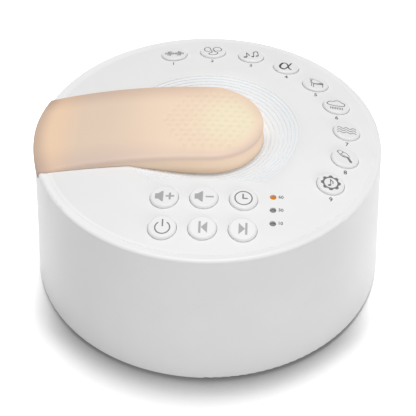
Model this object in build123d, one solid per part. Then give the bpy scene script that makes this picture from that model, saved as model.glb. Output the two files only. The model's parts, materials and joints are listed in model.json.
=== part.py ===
from build123d import *
import math
import os

# A round table-top sound machine. The floor is z = 0, the front is -Y, the lamp's tail points to -X,
# and the vertical axis of the round body is the Z axis. All sizes are in millimetres.

# Body
STAND_OFF = 1.2             # gap between the floor and the lower edge of the wall
WALL_HEIGHT = 58.5
RIM_RADIUS = 65.0
SKIRT_RADIUS = 67.5
WALL = 2.4
RIM_Z = STAND_OFF + WALL_HEIGHT
RIM_ROUND = 1.2
SKIRT_ROUND = 1.0

# Domed top panel, let into the rim
PANEL_RADIUS = 61.9
PANEL_SEAM = 0.06           # gap between the panel and the rim band
PANEL_EDGE_RISE = 0.12
PANEL_EDGE_ROUND = 0.15
PANEL_CROWN = 6.25
PANEL_WALL = 2.2
PANEL_SEAT_DEPTH = 2.5      # from the rim down to the ledge that the panel rests on
LEDGE_INNER_RADIUS = 59.4
LEDGE_THICKNESS = 2.0
PANEL_SKIRT_INNER_RADIUS = 59.6

# Rippled dish in the panel
DISH_RADIUS = 35.05
DISH_SLOPE = 0.235
RIPPLE_COUNT = 9
RIPPLE_FIRST_PITCH = 1.25
RIPPLE_PITCH_GROWTH = 1.04
GROOVE_WIDTH = 0.5
GROOVE_DEPTH = 0.24
DISH_CHORD_Y = -28.0        # the dish ends here in a straight step before the keys

# Lamp
LAMP_HEAD_RADIUS = 20.7
LAMP_TAPER = 0.7            # degrees by which each side opens towards the tail
LAMP_END_RADIUS = 65.45
LAMP_TOP_RISE = 9.8         # top of the lamp's head above the rim
LAMP_LONG_RADIUS = 258.0
LAMP_HEAD_CROWN = 0.25
LAMP_TAIL_CROWN = 1.9
LAMP_TAIL_X = 62.0
LAMP_DEPTH = 2.4            # bottom of the lamp's walls below the rim
LAMP_WALL = 2.0
LAMP_EDGE_ROUND = 1.3
LAMP_FIT = 0.12
LAMP_BOARD_END_RADIUS = 58.7
LAMP_NOTCH_DEPTH = 15.0     # the rim's notch for the lamp, measured in from the rim's edge
TROUGH_WALL = 1.9
TROUGH_FLOOR = 2.0
SNAP_LEG_X = (-44.0, -12.0)
SNAP_LEG_WIDTH = 6.0
SNAP_LEG_THICKNESS = 1.2
SNAP_HOOK = 0.5

# Keys
KEY_RADIUS = 5.1
KEY_HOLE_RADIUS = 5.25
KEY_RISE = 1.0              # key top above the panel
KEY_ROUND = 0.85
KEY_TRAVEL = 0.8
KEY_FLANGE_RADIUS = 6.0
KEY_FLANGE_THICKNESS = 0.8
KEY_FLANGE_GAP = 0.3
KEY_STEM_RADIUS = 2.2
KEY_ARC_RADIUS = 52.1
KEY_ARC_START = 107.2
KEY_ARC_STEP = -17.1
KEY_COLUMN_PITCH = 14.1
KEY_ROW_Y = (-37.0, -50.7)

# Indicator lights beside the front keys
INDICATOR_X = 24.6
INDICATOR_Y = (-34.9, -40.9, -46.9)
INDICATOR_HOLE_RADIUS = 1.2
INDICATOR_RADIUS = 1.1
INDICATOR_RECESS = 0.7

# Key board and the silicone domes on it
KEY_BOARD_DROP = 9.0        # rim to the board's top face
BOARD_THICKNESS = 1.6
KEY_BOARD_INNER_RADIUS = 33.0
KEY_BOARD_OUTER_RADIUS = 57.4
KEY_BOARD_FROM = -125.0
KEY_BOARD_TO = 118.0
DOME_RADIUS = 3.8
DOME_TOP_RADIUS = 2.4
DOME_HEIGHT = 2.4
DOME_WALL = 0.6

# Fasteners: screws are plain shanks with round heads
SCREW_RADIUS = 1.1
SCREW_HEAD_RADIUS = 2.0
SCREW_HEAD = 1.4
PILOT_RADIUS = 1.1

# Base
BASE_Z = 4.0
BASE_THICKNESS = 2.4
BASE_RADIUS = 64.5
BASE_LIP = 1.6              # height and thickness of the base's rim lip
BASE_SCREW_CIRCLE = 56.0
FOOT_CIRCLE = 48.0
FOOT_RADIUS = 6.5
FOOT_TOE_RADIUS = 5.5
FOOT_RECESS = 0.8
GRILLE_RADII = (5.5, 10.0, 14.5, 19.0)
GRILLE_SLOT = 2.4
GRILLE_SPOKE = 3.0

# Speaker, firing down through the base
SPEAKER_FLANGE_RADIUS = 28.0
SPEAKER_MOUTH_RADIUS = 23.0
SPEAKER_SCREW_CIRCLE = 31.0
GASKET_INNER_RADIUS = 24.6
GASKET_OUTER_RADIUS = 27.6
SPEAKER_RING_HEIGHT = 1.6
GASKET_THICKNESS = 1.0
CONE_RADIUS = 19.5
COIL_OUTER_RADIUS = 7.5
COIL_INNER_RADIUS = 6.8

# Power board and socket at the rear
POWER_BOARD_Z = 9.0
POWER_BOARD_SIZE = (28.0, 19.0)
POWER_BOARD_Y = 53.5
SOCKET_WIDTH = 8.94
SOCKET_HEIGHT = 3.26
SOCKET_SHELL = 0.3
SOCKET_LENGTH = 7.6
SOCKET_RECESS_Y = 66.0      # flat floor of the recess in the rear wall

BASE_TOP = BASE_Z + BASE_THICKNESS
PANEL_BOTTOM = RIM_Z - PANEL_SEAT_DEPTH
LAMP_BOTTOM = RIM_Z - LAMP_DEPTH
KEY_BOARD_TOP = RIM_Z - KEY_BOARD_DROP
KEY_BOARD_BOTTOM = KEY_BOARD_TOP - BOARD_THICKNESS
DOME_TOP = KEY_BOARD_TOP + DOME_HEIGHT
SPHERE_RADIUS = (PANEL_RADIUS**2 + PANEL_CROWN**2) / (2 * PANEL_CROWN)
SPHERE_Z = RIM_Z + PANEL_EDGE_RISE + PANEL_CROWN - SPHERE_RADIUS
CLEAR = 60.0                # longer than any cut needs to be

PANEL_SCREW_ANGLES = (150.0, 98.65, 47.35, -3.95, -47.0, -140.0)
PANEL_SCREW_CIRCLE = 57.0
PANEL_BOSS_RADIUS = 2.2
EAR_RADIUS = 2.8
EAR_DROP = 6.0              # rim to the ears' top faces, where the panel's bosses stand
EAR_THICKNESS = 2.0
EAR_TOP = RIM_Z - EAR_DROP
EAR_BOTTOM = EAR_TOP - EAR_THICKNESS
BASE_SCREW_ANGLES = (45.0, 135.0, 225.0, 315.0)
KEY_BOARD_POSTS = [(41.5, 98.65), (41.5, 47.35), (41.5, -3.95), (44.6, -99.0), (44.6, -81.0), (47.0, -121.0)]
LAMP_BOARD_SCREWS = [(-46.0, 0.0), (-18.0, 0.0), (12.0, 0.0)]

os.makedirs("parts", exist_ok=True)
made = {}


def polar(radius, angle):
    """Plan position of a point on a circle about the Z axis."""
    return (radius * math.cos(math.radians(angle)), radius * math.sin(math.radians(angle)))


def panel_height(radius, offset=0.0):
    """Height of the panel's domed surface, or of a surface parallel to it."""
    return SPHERE_Z + math.sqrt((SPHERE_RADIUS + offset) ** 2 - radius**2)


def dome_ball(offset):
    """The ball whose cap is the panel's surface, with its poles and seam far from the panel."""
    return Pos(0, 0, SPHERE_Z) * Rot(90, 0, 0) * Sphere(SPHERE_RADIUS + offset)


def turned(*points):
    """A solid of revolution about Z from a closed outline of (radius, height) points."""
    return revolve(Plane.XZ * make_face(Polyline(*points, close=True)), Axis.Z, 360)


def pin(x, y, bottom, top, radius):
    """A vertical cylinder between two heights."""
    return Pos(x, y, bottom) * Cylinder(radius, top - bottom, align=(Align.CENTER, Align.CENTER, Align.MIN))


def block(x, y, bottom, top, length, width):
    """A box on a plan centre, between two heights."""
    return Pos(x, y, bottom) * Box(length, width, top - bottom, align=(Align.CENTER, Align.CENTER, Align.MIN))


def rearward(y, z):
    """An upright plane behind the body's axis, facing the rear, with its x axis along X."""
    return Plane(origin=(0, y, z), x_dir=(1, 0, 0), z_dir=(0, 1, 0))


def disc_ring(inner, outer, bottom, top):
    """A flat ring about Z."""
    return turned((inner, bottom), (outer, bottom), (outer, top), (inner, top))


def screw(x, y, head_face, tip, up=True):
    """A screw whose head bears on head_face; up means that it is driven upwards."""
    head_end = head_face - SCREW_HEAD if up else head_face + SCREW_HEAD
    shank = pin(x, y, min(head_face, tip), max(head_face, tip), SCREW_RADIUS)
    return shank + pin(x, y, min(head_face, head_end), max(head_face, head_end), SCREW_HEAD_RADIUS)


def group(solids):
    """Separate solids that share one node."""
    return Compound(children=list(solids))


def cable(points, diameter):
    """A round lead along straight runs joined by arcs as large as the runs allow."""
    path = [Vector(*point) for point in points]
    runs = [b - a for a, b in zip(path, path[1:])]
    radii = []
    for before, after in zip(runs, runs[1:]):
        turn = math.radians(before.get_angle(after))
        radii.append(0.45 * min(before.length, after.length) / math.tan(turn / 2))
    print("lead radii", [round(radius, 1) for radius in radii])
    line = FilletPolyline(*path, radius=radii)
    section = Plane(origin=path[0], z_dir=runs[0]) * Circle(diameter / 2)
    tube = sweep(section, path=line)
    expected = math.pi * diameter**2 / 4 * line.length
    print("lead volume over section times length", round(tube.volume / expected, 3))
    return tube


def keep(name, shape):
    """Write one named piece."""
    shape.label = name
    made[name] = shape
    export_step(shape, os.path.join("parts", name + ".step"))


# Housing: one drafted wall with the rim band, a ledge for the panel, screw ears and base bosses

def wall_radius(z, inset=0.0):
    """Radius of the drafted wall's outer face at a height."""
    return SKIRT_RADIUS + (RIM_RADIUS - SKIRT_RADIUS) * (z - STAND_OFF) / WALL_HEIGHT - inset


def make_housing():
    band_inner = PANEL_RADIUS + PANEL_SEAM
    ledge_top = PANEL_BOTTOM
    ledge_bottom = ledge_top - LEDGE_THICKNESS
    outline = Polyline(
        (wall_radius(STAND_OFF, WALL), STAND_OFF),
        (SKIRT_RADIUS, STAND_OFF),
        (RIM_RADIUS, RIM_Z),
        (band_inner, RIM_Z),
        (band_inner, ledge_top),
        (LEDGE_INNER_RADIUS, ledge_top),
        (LEDGE_INNER_RADIUS, ledge_bottom),
        (wall_radius(ledge_bottom, WALL), ledge_bottom),
        close=True,
    )
    section = make_face(outline)
    rim_corner = section.vertices().sort_by_distance((RIM_RADIUS, RIM_Z, 0))[0]
    section = fillet(rim_corner, RIM_ROUND)
    skirt_corner = section.vertices().sort_by_distance((SKIRT_RADIUS, STAND_OFF, 0))[0]
    section = fillet(skirt_corner, SKIRT_ROUND)
    body = revolve(Plane.XZ * section, Axis.Z, 360)

    for angle in PANEL_SCREW_ANGLES:
        x, y = polar(PANEL_SCREW_CIRCLE, angle)
        reach = wall_radius(EAR_TOP, WALL) + 0.5 - PANEL_SCREW_CIRCLE
        web = block(PANEL_SCREW_CIRCLE + reach / 2, 0, EAR_BOTTOM, EAR_TOP, reach, 2 * EAR_RADIUS)
        body += pin(x, y, EAR_BOTTOM, EAR_TOP, EAR_RADIUS) + Rot(0, 0, angle) * web
        body -= pin(x, y, EAR_BOTTOM - 1, EAR_TOP + 1, SCREW_RADIUS + 0.2)

    boss_top = BASE_TOP + 14.0
    for angle in BASE_SCREW_ANGLES:
        x, y = polar(BASE_SCREW_CIRCLE, angle)
        inner_wall = wall_radius(boss_top, WALL) + 0.4
        web_length = inner_wall - BASE_SCREW_CIRCLE
        web_bottom = BASE_TOP + BASE_LIP + 0.4
        web = block(BASE_SCREW_CIRCLE + web_length / 2, 0, web_bottom, boss_top, web_length, 2.0)
        body += pin(x, y, BASE_TOP, boss_top, 3.6) + Rot(0, 0, angle) * web
        body -= pin(x, y, BASE_TOP - 1, BASE_TOP + 9.0, PILOT_RADIUS)

    notch = block(-RIM_RADIUS, 0, PANEL_BOTTOM, RIM_Z + CLEAR, 2 * LAMP_NOTCH_DEPTH, RIM_RADIUS)
    body -= notch & tongue(LAMP_FIT, 2 * RIM_RADIUS, PANEL_BOTTOM - 1, RIM_Z + CLEAR)

    socket_z = POWER_BOARD_Z + BOARD_THICKNESS + SOCKET_HEIGHT / 2
    recess = RectangleRounded(15.0, 8.0, 2.0)
    body -= extrude(rearward(SOCKET_RECESS_Y, socket_z) * recess, amount=10)
    mouth = SlotOverall(SOCKET_WIDTH + 0.4, SOCKET_HEIGHT + 0.4)
    body -= extrude(rearward(SOCKET_RECESS_Y - 6, socket_z) * mouth, amount=12)
    return body


# Top panel: a domed plate with the rippled dish, the lamp's trough and the holes for keys and lights

def ripple_radii():
    """Radii of the dish's edge and of its ripples, from the outside inwards, with a slowly growing pitch."""
    radii = [DISH_RADIUS]
    for index in range(RIPPLE_COUNT):
        radii.append(radii[-1] - RIPPLE_FIRST_PITCH * RIPPLE_PITCH_GROWTH**index)
    return radii


def dish_height(radius):
    """Height of the dish's mean surface."""
    return panel_height(DISH_RADIUS) - DISH_SLOPE * (DISH_RADIUS - radius)


def dish_cutter():
    """The dish's hollow, a shallow cone with a fine groove at each ripple."""
    outline = [(0.0, RIM_Z + CLEAR), (DISH_RADIUS, RIM_Z + CLEAR), (DISH_RADIUS, dish_height(DISH_RADIUS))]
    for radius in ripple_radii()[1:]:
        outer, inner = radius + GROOVE_WIDTH / 2, radius - GROOVE_WIDTH / 2
        outline.append((outer, dish_height(outer)))
        outline.append((radius, dish_height(radius) - GROOVE_DEPTH))
        outline.append((inner, dish_height(inner)))
    outline.append((0.0, dish_height(inner)))
    behind_chord = Pos(0, DISH_CHORD_Y, 0) * Box(
        4 * RIM_RADIUS, 4 * RIM_RADIUS, 4 * RIM_RADIUS, align=(Align.CENTER, Align.MIN, Align.CENTER)
    )
    return turned(*outline) & behind_chord


def tongue(grow, reach, bottom, top):
    """The lamp's plan, a band that opens along -X from a round head on the Z axis, grown by an amount."""
    radius = LAMP_HEAD_RADIUS + grow
    shoulder_x, shoulder_y = polar(radius, 90 - LAMP_TAPER)
    far_y = shoulder_y + (shoulder_x + 2 * CLEAR) * math.tan(math.radians(LAMP_TAPER))
    corners = [(shoulder_x, shoulder_y), (-2 * CLEAR, far_y), (-2 * CLEAR, -far_y), (shoulder_x, -shoulder_y)]
    band = Polygon(*corners, align=None)
    plan = Circle(radius) + band
    prism = Pos(0, 0, bottom) * extrude(plan, amount=top - bottom)
    return prism & pin(0, 0, bottom - 1, top + 1, reach)


def underside_cutter():
    """The hollow under the panel, parallel to its top between the seat and the dish's foot."""
    shoulder = DISH_RADIUS + 1.4
    foot = LAMP_HEAD_RADIUS + TROUGH_WALL
    middle = (PANEL_SKIRT_INNER_RADIUS + shoulder) / 2
    low = PANEL_BOTTOM - 1
    outline = [
        Line((foot, low), (PANEL_SKIRT_INNER_RADIUS, low)),
        Line(
            (PANEL_SKIRT_INNER_RADIUS, low),
            (PANEL_SKIRT_INNER_RADIUS, panel_height(PANEL_SKIRT_INNER_RADIUS, -PANEL_WALL)),
        ),
        ThreePointArc(
            (PANEL_SKIRT_INNER_RADIUS, panel_height(PANEL_SKIRT_INNER_RADIUS, -PANEL_WALL)),
            (middle, panel_height(middle, -PANEL_WALL)),
            (shoulder, panel_height(shoulder, -PANEL_WALL)),
        ),
        Line((shoulder, panel_height(shoulder, -PANEL_WALL)), (foot, dish_height(foot) - PANEL_WALL)),
        Line((foot, dish_height(foot) - PANEL_WALL), (foot, low)),
    ]
    room = revolve(Plane.XZ * make_face(Curve() + outline), Axis.Z, 360)
    front = pin(0, 0, low, RIM_Z + 20, PANEL_SKIRT_INNER_RADIUS) & dome_ball(-PANEL_WALL)
    before_step = Pos(0, DISH_CHORD_Y - PANEL_WALL, 0) * Box(
        4 * RIM_RADIUS, 4 * RIM_RADIUS, 4 * RIM_RADIUS, align=(Align.CENTER, Align.MAX, Align.CENTER)
    )
    return room + (front & before_step)


def make_top_panel():
    middle = PANEL_RADIUS / 2
    outline = [
        Line((0, PANEL_BOTTOM), (PANEL_RADIUS, PANEL_BOTTOM)),
        Line((PANEL_RADIUS, PANEL_BOTTOM), (PANEL_RADIUS, panel_height(PANEL_RADIUS))),
        ThreePointArc(
            (PANEL_RADIUS, panel_height(PANEL_RADIUS)), (middle, panel_height(middle)), (0, panel_height(0))
        ),
        Line((0, panel_height(0)), (0, PANEL_BOTTOM)),
    ]
    whole = revolve(Plane.XZ * make_face(Curve() + outline), Axis.Z, 360)
    edge = whole.edges().filter_by(GeomType.CIRCLE).sort_by(SortBy.LENGTH)[-2:].sort_by(Axis.Z)[-1]
    panel = fillet(edge, PANEL_EDGE_ROUND) - underside_cutter()

    trough_bottom = LAMP_BOTTOM - TROUGH_FLOOR
    trough = tongue(LAMP_FIT + TROUGH_WALL, LEDGE_INNER_RADIUS - 0.3, trough_bottom, RIM_Z + CLEAR)
    panel += trough & (whole + pin(0, 0, trough_bottom, PANEL_BOTTOM + 0.1, LEDGE_INNER_RADIUS - 0.3))
    panel -= dish_cutter()

    board_posts = [polar(radius, angle) for radius, angle in KEY_BOARD_POSTS]
    for x, y in board_posts:
        panel += pin(x, y, KEY_BOARD_TOP, panel_height(math.hypot(x, y), -PANEL_WALL) + 0.6, 2.3)
    for angle in PANEL_SCREW_ANGLES:
        x, y = polar(PANEL_SCREW_CIRCLE, angle)
        panel += pin(x, y, EAR_TOP, panel_height(PANEL_SCREW_CIRCLE, -PANEL_WALL) + 0.6, PANEL_BOSS_RADIUS)

    for x, y in board_posts:
        panel -= pin(x, y, KEY_BOARD_TOP - 1, KEY_BOARD_TOP + 6.0, PILOT_RADIUS)
    for angle in PANEL_SCREW_ANGLES:
        x, y = polar(PANEL_SCREW_CIRCLE, angle)
        panel -= pin(x, y, EAR_TOP - 1, EAR_TOP + 4.4, PILOT_RADIUS)

    panel -= tongue(LAMP_FIT, LEDGE_INNER_RADIUS - 0.3, LAMP_BOTTOM, RIM_Z + CLEAR)
    open_end = tongue(LAMP_FIT, 2 * RIM_RADIUS, PANEL_BOTTOM - 1, RIM_Z + CLEAR)
    panel -= open_end - pin(0, 0, 0, RIM_Z + 2 * CLEAR, LEDGE_INNER_RADIUS - 0.3)
    for x in SNAP_LEG_X:
        for side in (-1, 1):
            y = side * (LAMP_HEAD_RADIUS - SNAP_LEG_THICKNESS / 2 - SNAP_HOOK / 2)
            width = SNAP_LEG_THICKNESS + 2 * SNAP_HOOK + 0.2
            panel -= block(x, y, trough_bottom - 1, LAMP_BOTTOM + 1, SNAP_LEG_WIDTH + 0.6, width)
    for x, y in LAMP_BOARD_SCREWS:
        panel -= pin(x, y, LAMP_BOTTOM - 1.6, LAMP_BOTTOM + 1, PILOT_RADIUS)
    panel -= pin(*LAMP_LEAD_HOLE, trough_bottom - 1, LAMP_BOTTOM + 1, 2.0)

    for x, y in KEY_PLACES.values():
        panel -= pin(x, y, RIM_Z - 4, RIM_Z + CLEAR, KEY_HOLE_RADIUS)
    for y in INDICATOR_Y:
        panel -= pin(INDICATOR_X, y, RIM_Z - 4, RIM_Z + CLEAR, INDICATOR_HOLE_RADIUS)
    return panel


# Lamp

def lamp_top_height(x, y, inset):
    """Height of the lamp's crowned top, which falls along the tail and to the sides."""
    crown = LAMP_HEAD_CROWN + LAMP_TAIL_CROWN * (x / LAMP_TAIL_X) ** 2
    fall = x**2 / (2 * LAMP_LONG_RADIUS) + crown * (y / LAMP_HEAD_RADIUS) ** 2
    return RIM_Z + LAMP_TOP_RISE - inset - fall


def lamp_top_cutter(inset):
    """Everything above the lamp's top face, or above a face sunk into it by an amount."""
    columns = [-80.0 + 12.0 * index for index in range(11)]
    rows = [-30.0 + 10.0 * index for index in range(7)]
    grid = [[Vector(x, y, lamp_top_height(x, y, inset)) for y in rows] for x in columns]
    top = Face.make_surface_from_array_of_points(grid)
    return extrude(top, amount=CLEAR, dir=(0, 0, 1))


def make_lamp_shade():
    solid = tongue(0.0, LAMP_END_RADIUS, LAMP_BOTTOM, RIM_Z + 30) - lamp_top_cutter(0.0)
    upper = solid.faces().sort_by(Axis.Z)[-1]
    solid = fillet(upper.edges(), LAMP_EDGE_ROUND)
    hollow = tongue(-LAMP_WALL, LAMP_END_RADIUS - LAMP_WALL, LAMP_BOTTOM - 1, RIM_Z + 30)
    hollow -= lamp_top_cutter(LAMP_WALL)
    shade = solid - hollow
    leg_bottom = LAMP_BOTTOM - TROUGH_FLOOR - 1.6
    for x in SNAP_LEG_X:
        for side in (-1, 1):
            y = side * (LAMP_HEAD_RADIUS - SNAP_LEG_THICKNESS / 2 - SNAP_HOOK / 2)
            shade += block(x, y, leg_bottom, LAMP_BOTTOM + 0.5, SNAP_LEG_WIDTH, SNAP_LEG_THICKNESS)
            hook_y = y - side * (SNAP_LEG_THICKNESS / 2 + SNAP_HOOK / 2)
            hook_top = LAMP_BOTTOM - TROUGH_FLOOR - 0.1
            shade += block(x, hook_y, leg_bottom, hook_top, SNAP_LEG_WIDTH, SNAP_HOOK)
    return shade


def lamp_led_places():
    """A row of lights along the tail and a ring in the head."""
    tail = [(-54.0 + 9.0 * index, side * 8.0) for index in range(4) for side in (-1, 1)]
    head = [polar(13.0, 30.0 + 60.0 * index) for index in range(6)]
    return tail + head


LAMP_LEAD_HOLE = (-8.0, -6.0)
LAMP_BOARD_TOP = LAMP_BOTTOM + 1.2


def make_lamp_board():
    board = tongue(-LAMP_WALL - 0.6, LAMP_BOARD_END_RADIUS, LAMP_BOTTOM, LAMP_BOARD_TOP)
    board -= pin(*LAMP_LEAD_HOLE, LAMP_BOTTOM - 1, LAMP_BOARD_TOP + 1, 1.2)
    for x, y in LAMP_BOARD_SCREWS:
        board -= pin(x, y, LAMP_BOTTOM - 1, LAMP_BOARD_TOP + 1, SCREW_RADIUS + 0.2)
    return board


def make_lamp_reflector():
    """A thin white sheet on the board, with a window for each light and each screw head."""
    sheet = tongue(-LAMP_WALL - 0.8, LAMP_BOARD_END_RADIUS - 0.2, LAMP_BOARD_TOP, LAMP_BOARD_TOP + 0.5)
    for x, y in lamp_led_places():
        sheet -= block(x, y, LAMP_BOARD_TOP - 1, LAMP_BOARD_TOP + 2, 4.0, 4.0)
    for x, y in LAMP_BOARD_SCREWS:
        sheet -= pin(x, y, LAMP_BOARD_TOP - 1, LAMP_BOARD_TOP + 2, SCREW_HEAD_RADIUS + 0.3)
    return sheet


# Keys: caps that slide down in the panel's holes on hollow silicone domes

SOUND_KEYS = (
    "white_noise_key", "fan_key", "melody_key", "alpha_key", "piano_key",
    "rain_key", "waves_key", "birds_key", "custom_key",
)
CONTROL_KEYS = (
    ("volume_up_key", "volume_down_key", "timer_key"),
    ("power_key", "previous_key", "next_key"),
)
KEY_PLACES = {
    name: polar(KEY_ARC_RADIUS, KEY_ARC_START + KEY_ARC_STEP * index) for index, name in enumerate(SOUND_KEYS)
}
for key_row, row_y in zip(CONTROL_KEYS, KEY_ROW_Y):
    for column, key_name in enumerate(key_row):
        KEY_PLACES[key_name] = (KEY_COLUMN_PITCH * (column - 1), row_y)


def make_key(x, y):
    """A cap with a rounded top parallel to the panel, a retaining flange and a stem."""
    reach = math.hypot(x, y)
    flange_edge = panel_height(reach + KEY_FLANGE_RADIUS, -PANEL_WALL - KEY_FLANGE_GAP)
    flange_bottom = flange_edge - KEY_FLANGE_THICKNESS
    cap = pin(x, y, flange_bottom, RIM_Z + 20, KEY_RADIUS) & dome_ball(KEY_RISE)
    cap = fillet(cap.edges().sort_by(Axis.Z)[-1], KEY_ROUND)
    flange = pin(x, y, flange_bottom, RIM_Z + 20, KEY_FLANGE_RADIUS) & dome_ball(-PANEL_WALL - KEY_FLANGE_GAP)
    return cap + flange + pin(x, y, DOME_TOP, flange_bottom, KEY_STEM_RADIUS)


def make_key_dome(x, y):
    """A hollow silicone dome that stands on the key board."""
    bell = turned(
        (0.0, DOME_HEIGHT),
        (DOME_TOP_RADIUS, DOME_HEIGHT),
        (DOME_RADIUS, 0.0),
        (DOME_RADIUS - 1.2 * DOME_WALL, 0.0),
        (DOME_TOP_RADIUS - DOME_WALL, DOME_HEIGHT - DOME_WALL),
        (0.0, DOME_HEIGHT - DOME_WALL),
    )
    return Pos(x, y, KEY_BOARD_TOP) * bell


def make_key_board():
    """A C-shaped board under all the keys, open on the lamp's side and notched for the panel's screws."""
    span = KEY_BOARD_TO - KEY_BOARD_FROM
    width = KEY_BOARD_OUTER_RADIUS - KEY_BOARD_INNER_RADIUS
    section = Rectangle(width, BOARD_THICKNESS, align=Align.MIN)
    section = Plane.XZ * Pos(KEY_BOARD_INNER_RADIUS, KEY_BOARD_BOTTOM) * section
    board = Rot(0, 0, KEY_BOARD_FROM) * revolve(section, Axis.Z, span)
    for radius, angle in KEY_BOARD_POSTS:
        board -= pin(*polar(radius, angle), KEY_BOARD_BOTTOM - 1, KEY_BOARD_TOP + 1, SCREW_RADIUS + 0.2)
    for angle in PANEL_SCREW_ANGLES:
        x, y = polar(PANEL_SCREW_CIRCLE, angle)
        board -= pin(x, y, KEY_BOARD_BOTTOM - 1, KEY_BOARD_TOP + 1, EAR_RADIUS + 0.6)
    return board


# Base cover with the grille, and the feet

def make_base_cover():
    base = pin(0, 0, BASE_Z, BASE_TOP, BASE_RADIUS)
    base += disc_ring(BASE_RADIUS - BASE_LIP, BASE_RADIUS, BASE_Z, BASE_TOP + BASE_LIP)
    base += disc_ring(GASKET_INNER_RADIUS, GASKET_OUTER_RADIUS, BASE_TOP, BASE_TOP + SPEAKER_RING_HEIGHT)
    speaker_seat = BASE_TOP + SPEAKER_RING_HEIGHT + GASKET_THICKNESS
    for angle in BASE_SCREW_ANGLES:
        base += pin(*polar(SPEAKER_SCREW_CIRCLE, angle), BASE_TOP, speaker_seat, 2.6)
    for x, y in POWER_BOARD_SCREWS:
        base += pin(x, y, BASE_TOP, POWER_BOARD_Z, 2.6)

    slots = Part()
    for radius in GRILLE_RADII:
        slots += disc_ring(radius - GRILLE_SLOT / 2, radius + GRILLE_SLOT / 2, BASE_Z - 1, BASE_TOP + 1)
    for angle in (0.0, 60.0, 120.0):
        slots -= Rot(0, 0, angle) * block(0, 0, BASE_Z - 2, BASE_TOP + 2, CLEAR, GRILLE_SPOKE)
    base -= slots

    for angle in BASE_SCREW_ANGLES:
        base -= pin(*polar(BASE_SCREW_CIRCLE, angle), BASE_Z - 1, BASE_Z + 1.0, SCREW_HEAD_RADIUS + 0.4)
        base -= pin(*polar(BASE_SCREW_CIRCLE, angle), BASE_Z - 1, BASE_TOP + 1, SCREW_RADIUS + 0.2)
        base -= pin(*polar(SPEAKER_SCREW_CIRCLE, angle), BASE_TOP - 1, speaker_seat + 1, PILOT_RADIUS)
    for x, y in POWER_BOARD_SCREWS:
        base -= pin(x, y, BASE_TOP - 1, POWER_BOARD_Z + 1, PILOT_RADIUS)
    for angle in (0.0, 90.0, 180.0, 270.0):
        base -= pin(*polar(FOOT_CIRCLE, angle), BASE_Z - 1, BASE_Z + FOOT_RECESS, FOOT_RADIUS + 0.1)
    return base


def make_foot(angle):
    top = BASE_Z + FOOT_RECESS
    foot = turned((0, 0), (FOOT_TOE_RADIUS, 0), (FOOT_RADIUS, 1.0), (FOOT_RADIUS, top), (0, top))
    return Pos(*polar(FOOT_CIRCLE, angle), 0) * foot


# Speaker: heights rise from the mouth at the base

SPEAKER_SEAT = BASE_TOP + SPEAKER_RING_HEIGHT + GASKET_THICKNESS
FLANGE_TOP = SPEAKER_SEAT + 1.2
BASKET_TOP = SPEAKER_SEAT + 12.2
MAGNET_PLATE = 2.0
MAGNET_HEIGHT = 7.0
POLE_RADIUS = 6.2
GAP_OUTER_RADIUS = 8.2
SURROUND_RADIUS = (SPEAKER_MOUTH_RADIUS - CONE_RADIUS) / 2
SURROUND_SKIN = 0.4
CONE_EDGE_Z = SPEAKER_SEAT + 2.6
CONE_NECK_Z = SPEAKER_SEAT + 7.0
CONE_SKIN = 0.6
SPIDER_Z = SPEAKER_SEAT + 9.4
SPIDER_RADIUS = 14.5


def make_speaker_frame():
    basket = turned(
        (SPEAKER_MOUTH_RADIUS, SPEAKER_SEAT),
        (SPEAKER_FLANGE_RADIUS, SPEAKER_SEAT),
        (SPEAKER_FLANGE_RADIUS, FLANGE_TOP),
        (24.2, FLANGE_TOP),
        (24.2, FLANGE_TOP + 3.0),
        (17.0, SPIDER_Z - 0.2),
        (17.0, BASKET_TOP),
        (GAP_OUTER_RADIUS, BASKET_TOP),
        (GAP_OUTER_RADIUS, BASKET_TOP - 1.2),
        (SPIDER_RADIUS + 1.0, BASKET_TOP - 1.2),
        (SPIDER_RADIUS + 1.0, SPIDER_Z + 0.6),
        (SPIDER_RADIUS, SPIDER_Z + 0.6),
        (SPIDER_RADIUS, SPIDER_Z - 1.0),
        (SPEAKER_MOUTH_RADIUS, FLANGE_TOP + 2.4),
    )
    for angle in (0.0, 90.0, 180.0, 270.0):
        basket -= Rot(0, 0, angle) * block(22.0, 0, FLANGE_TOP + 0.8, SPIDER_Z - 1.4, 14.0, 20.0)
    for angle in BASE_SCREW_ANGLES:
        x, y = polar(SPEAKER_SCREW_CIRCLE, angle)
        ear = Rot(0, 0, angle) * block(SPEAKER_SCREW_CIRCLE - 2.5, 0, SPEAKER_SEAT, FLANGE_TOP, 5.0, 6.0)
        basket += ear - pin(0, 0, 0, CLEAR, SPEAKER_MOUTH_RADIUS + 2)
        basket += pin(x, y, SPEAKER_SEAT, FLANGE_TOP, 3.0)
        basket -= pin(x, y, SPEAKER_SEAT - 1, FLANGE_TOP + 1, SCREW_RADIUS + 0.2)
    return basket


def make_speaker_magnet():
    top = BASKET_TOP + MAGNET_PLATE
    back = top + MAGNET_HEIGHT
    return turned(
        (0, BASKET_TOP - 0.6), (POLE_RADIUS, BASKET_TOP - 0.6), (POLE_RADIUS, back), (9.0, back), (9.0, top),
        (GAP_OUTER_RADIUS, top), (GAP_OUTER_RADIUS, BASKET_TOP), (14.0, BASKET_TOP), (14.0, top), (17.0, top),
        (17.0, back), (15.0, back), (15.0, back + MAGNET_PLATE), (0, back + MAGNET_PLATE),
    )


def make_speaker_cone():
    return turned(
        (COIL_OUTER_RADIUS, CONE_NECK_Z), (COIL_OUTER_RADIUS, CONE_NECK_Z + CONE_SKIN),
        (CONE_RADIUS, CONE_EDGE_Z + CONE_SKIN), (CONE_RADIUS, CONE_EDGE_Z),
    )


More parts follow.
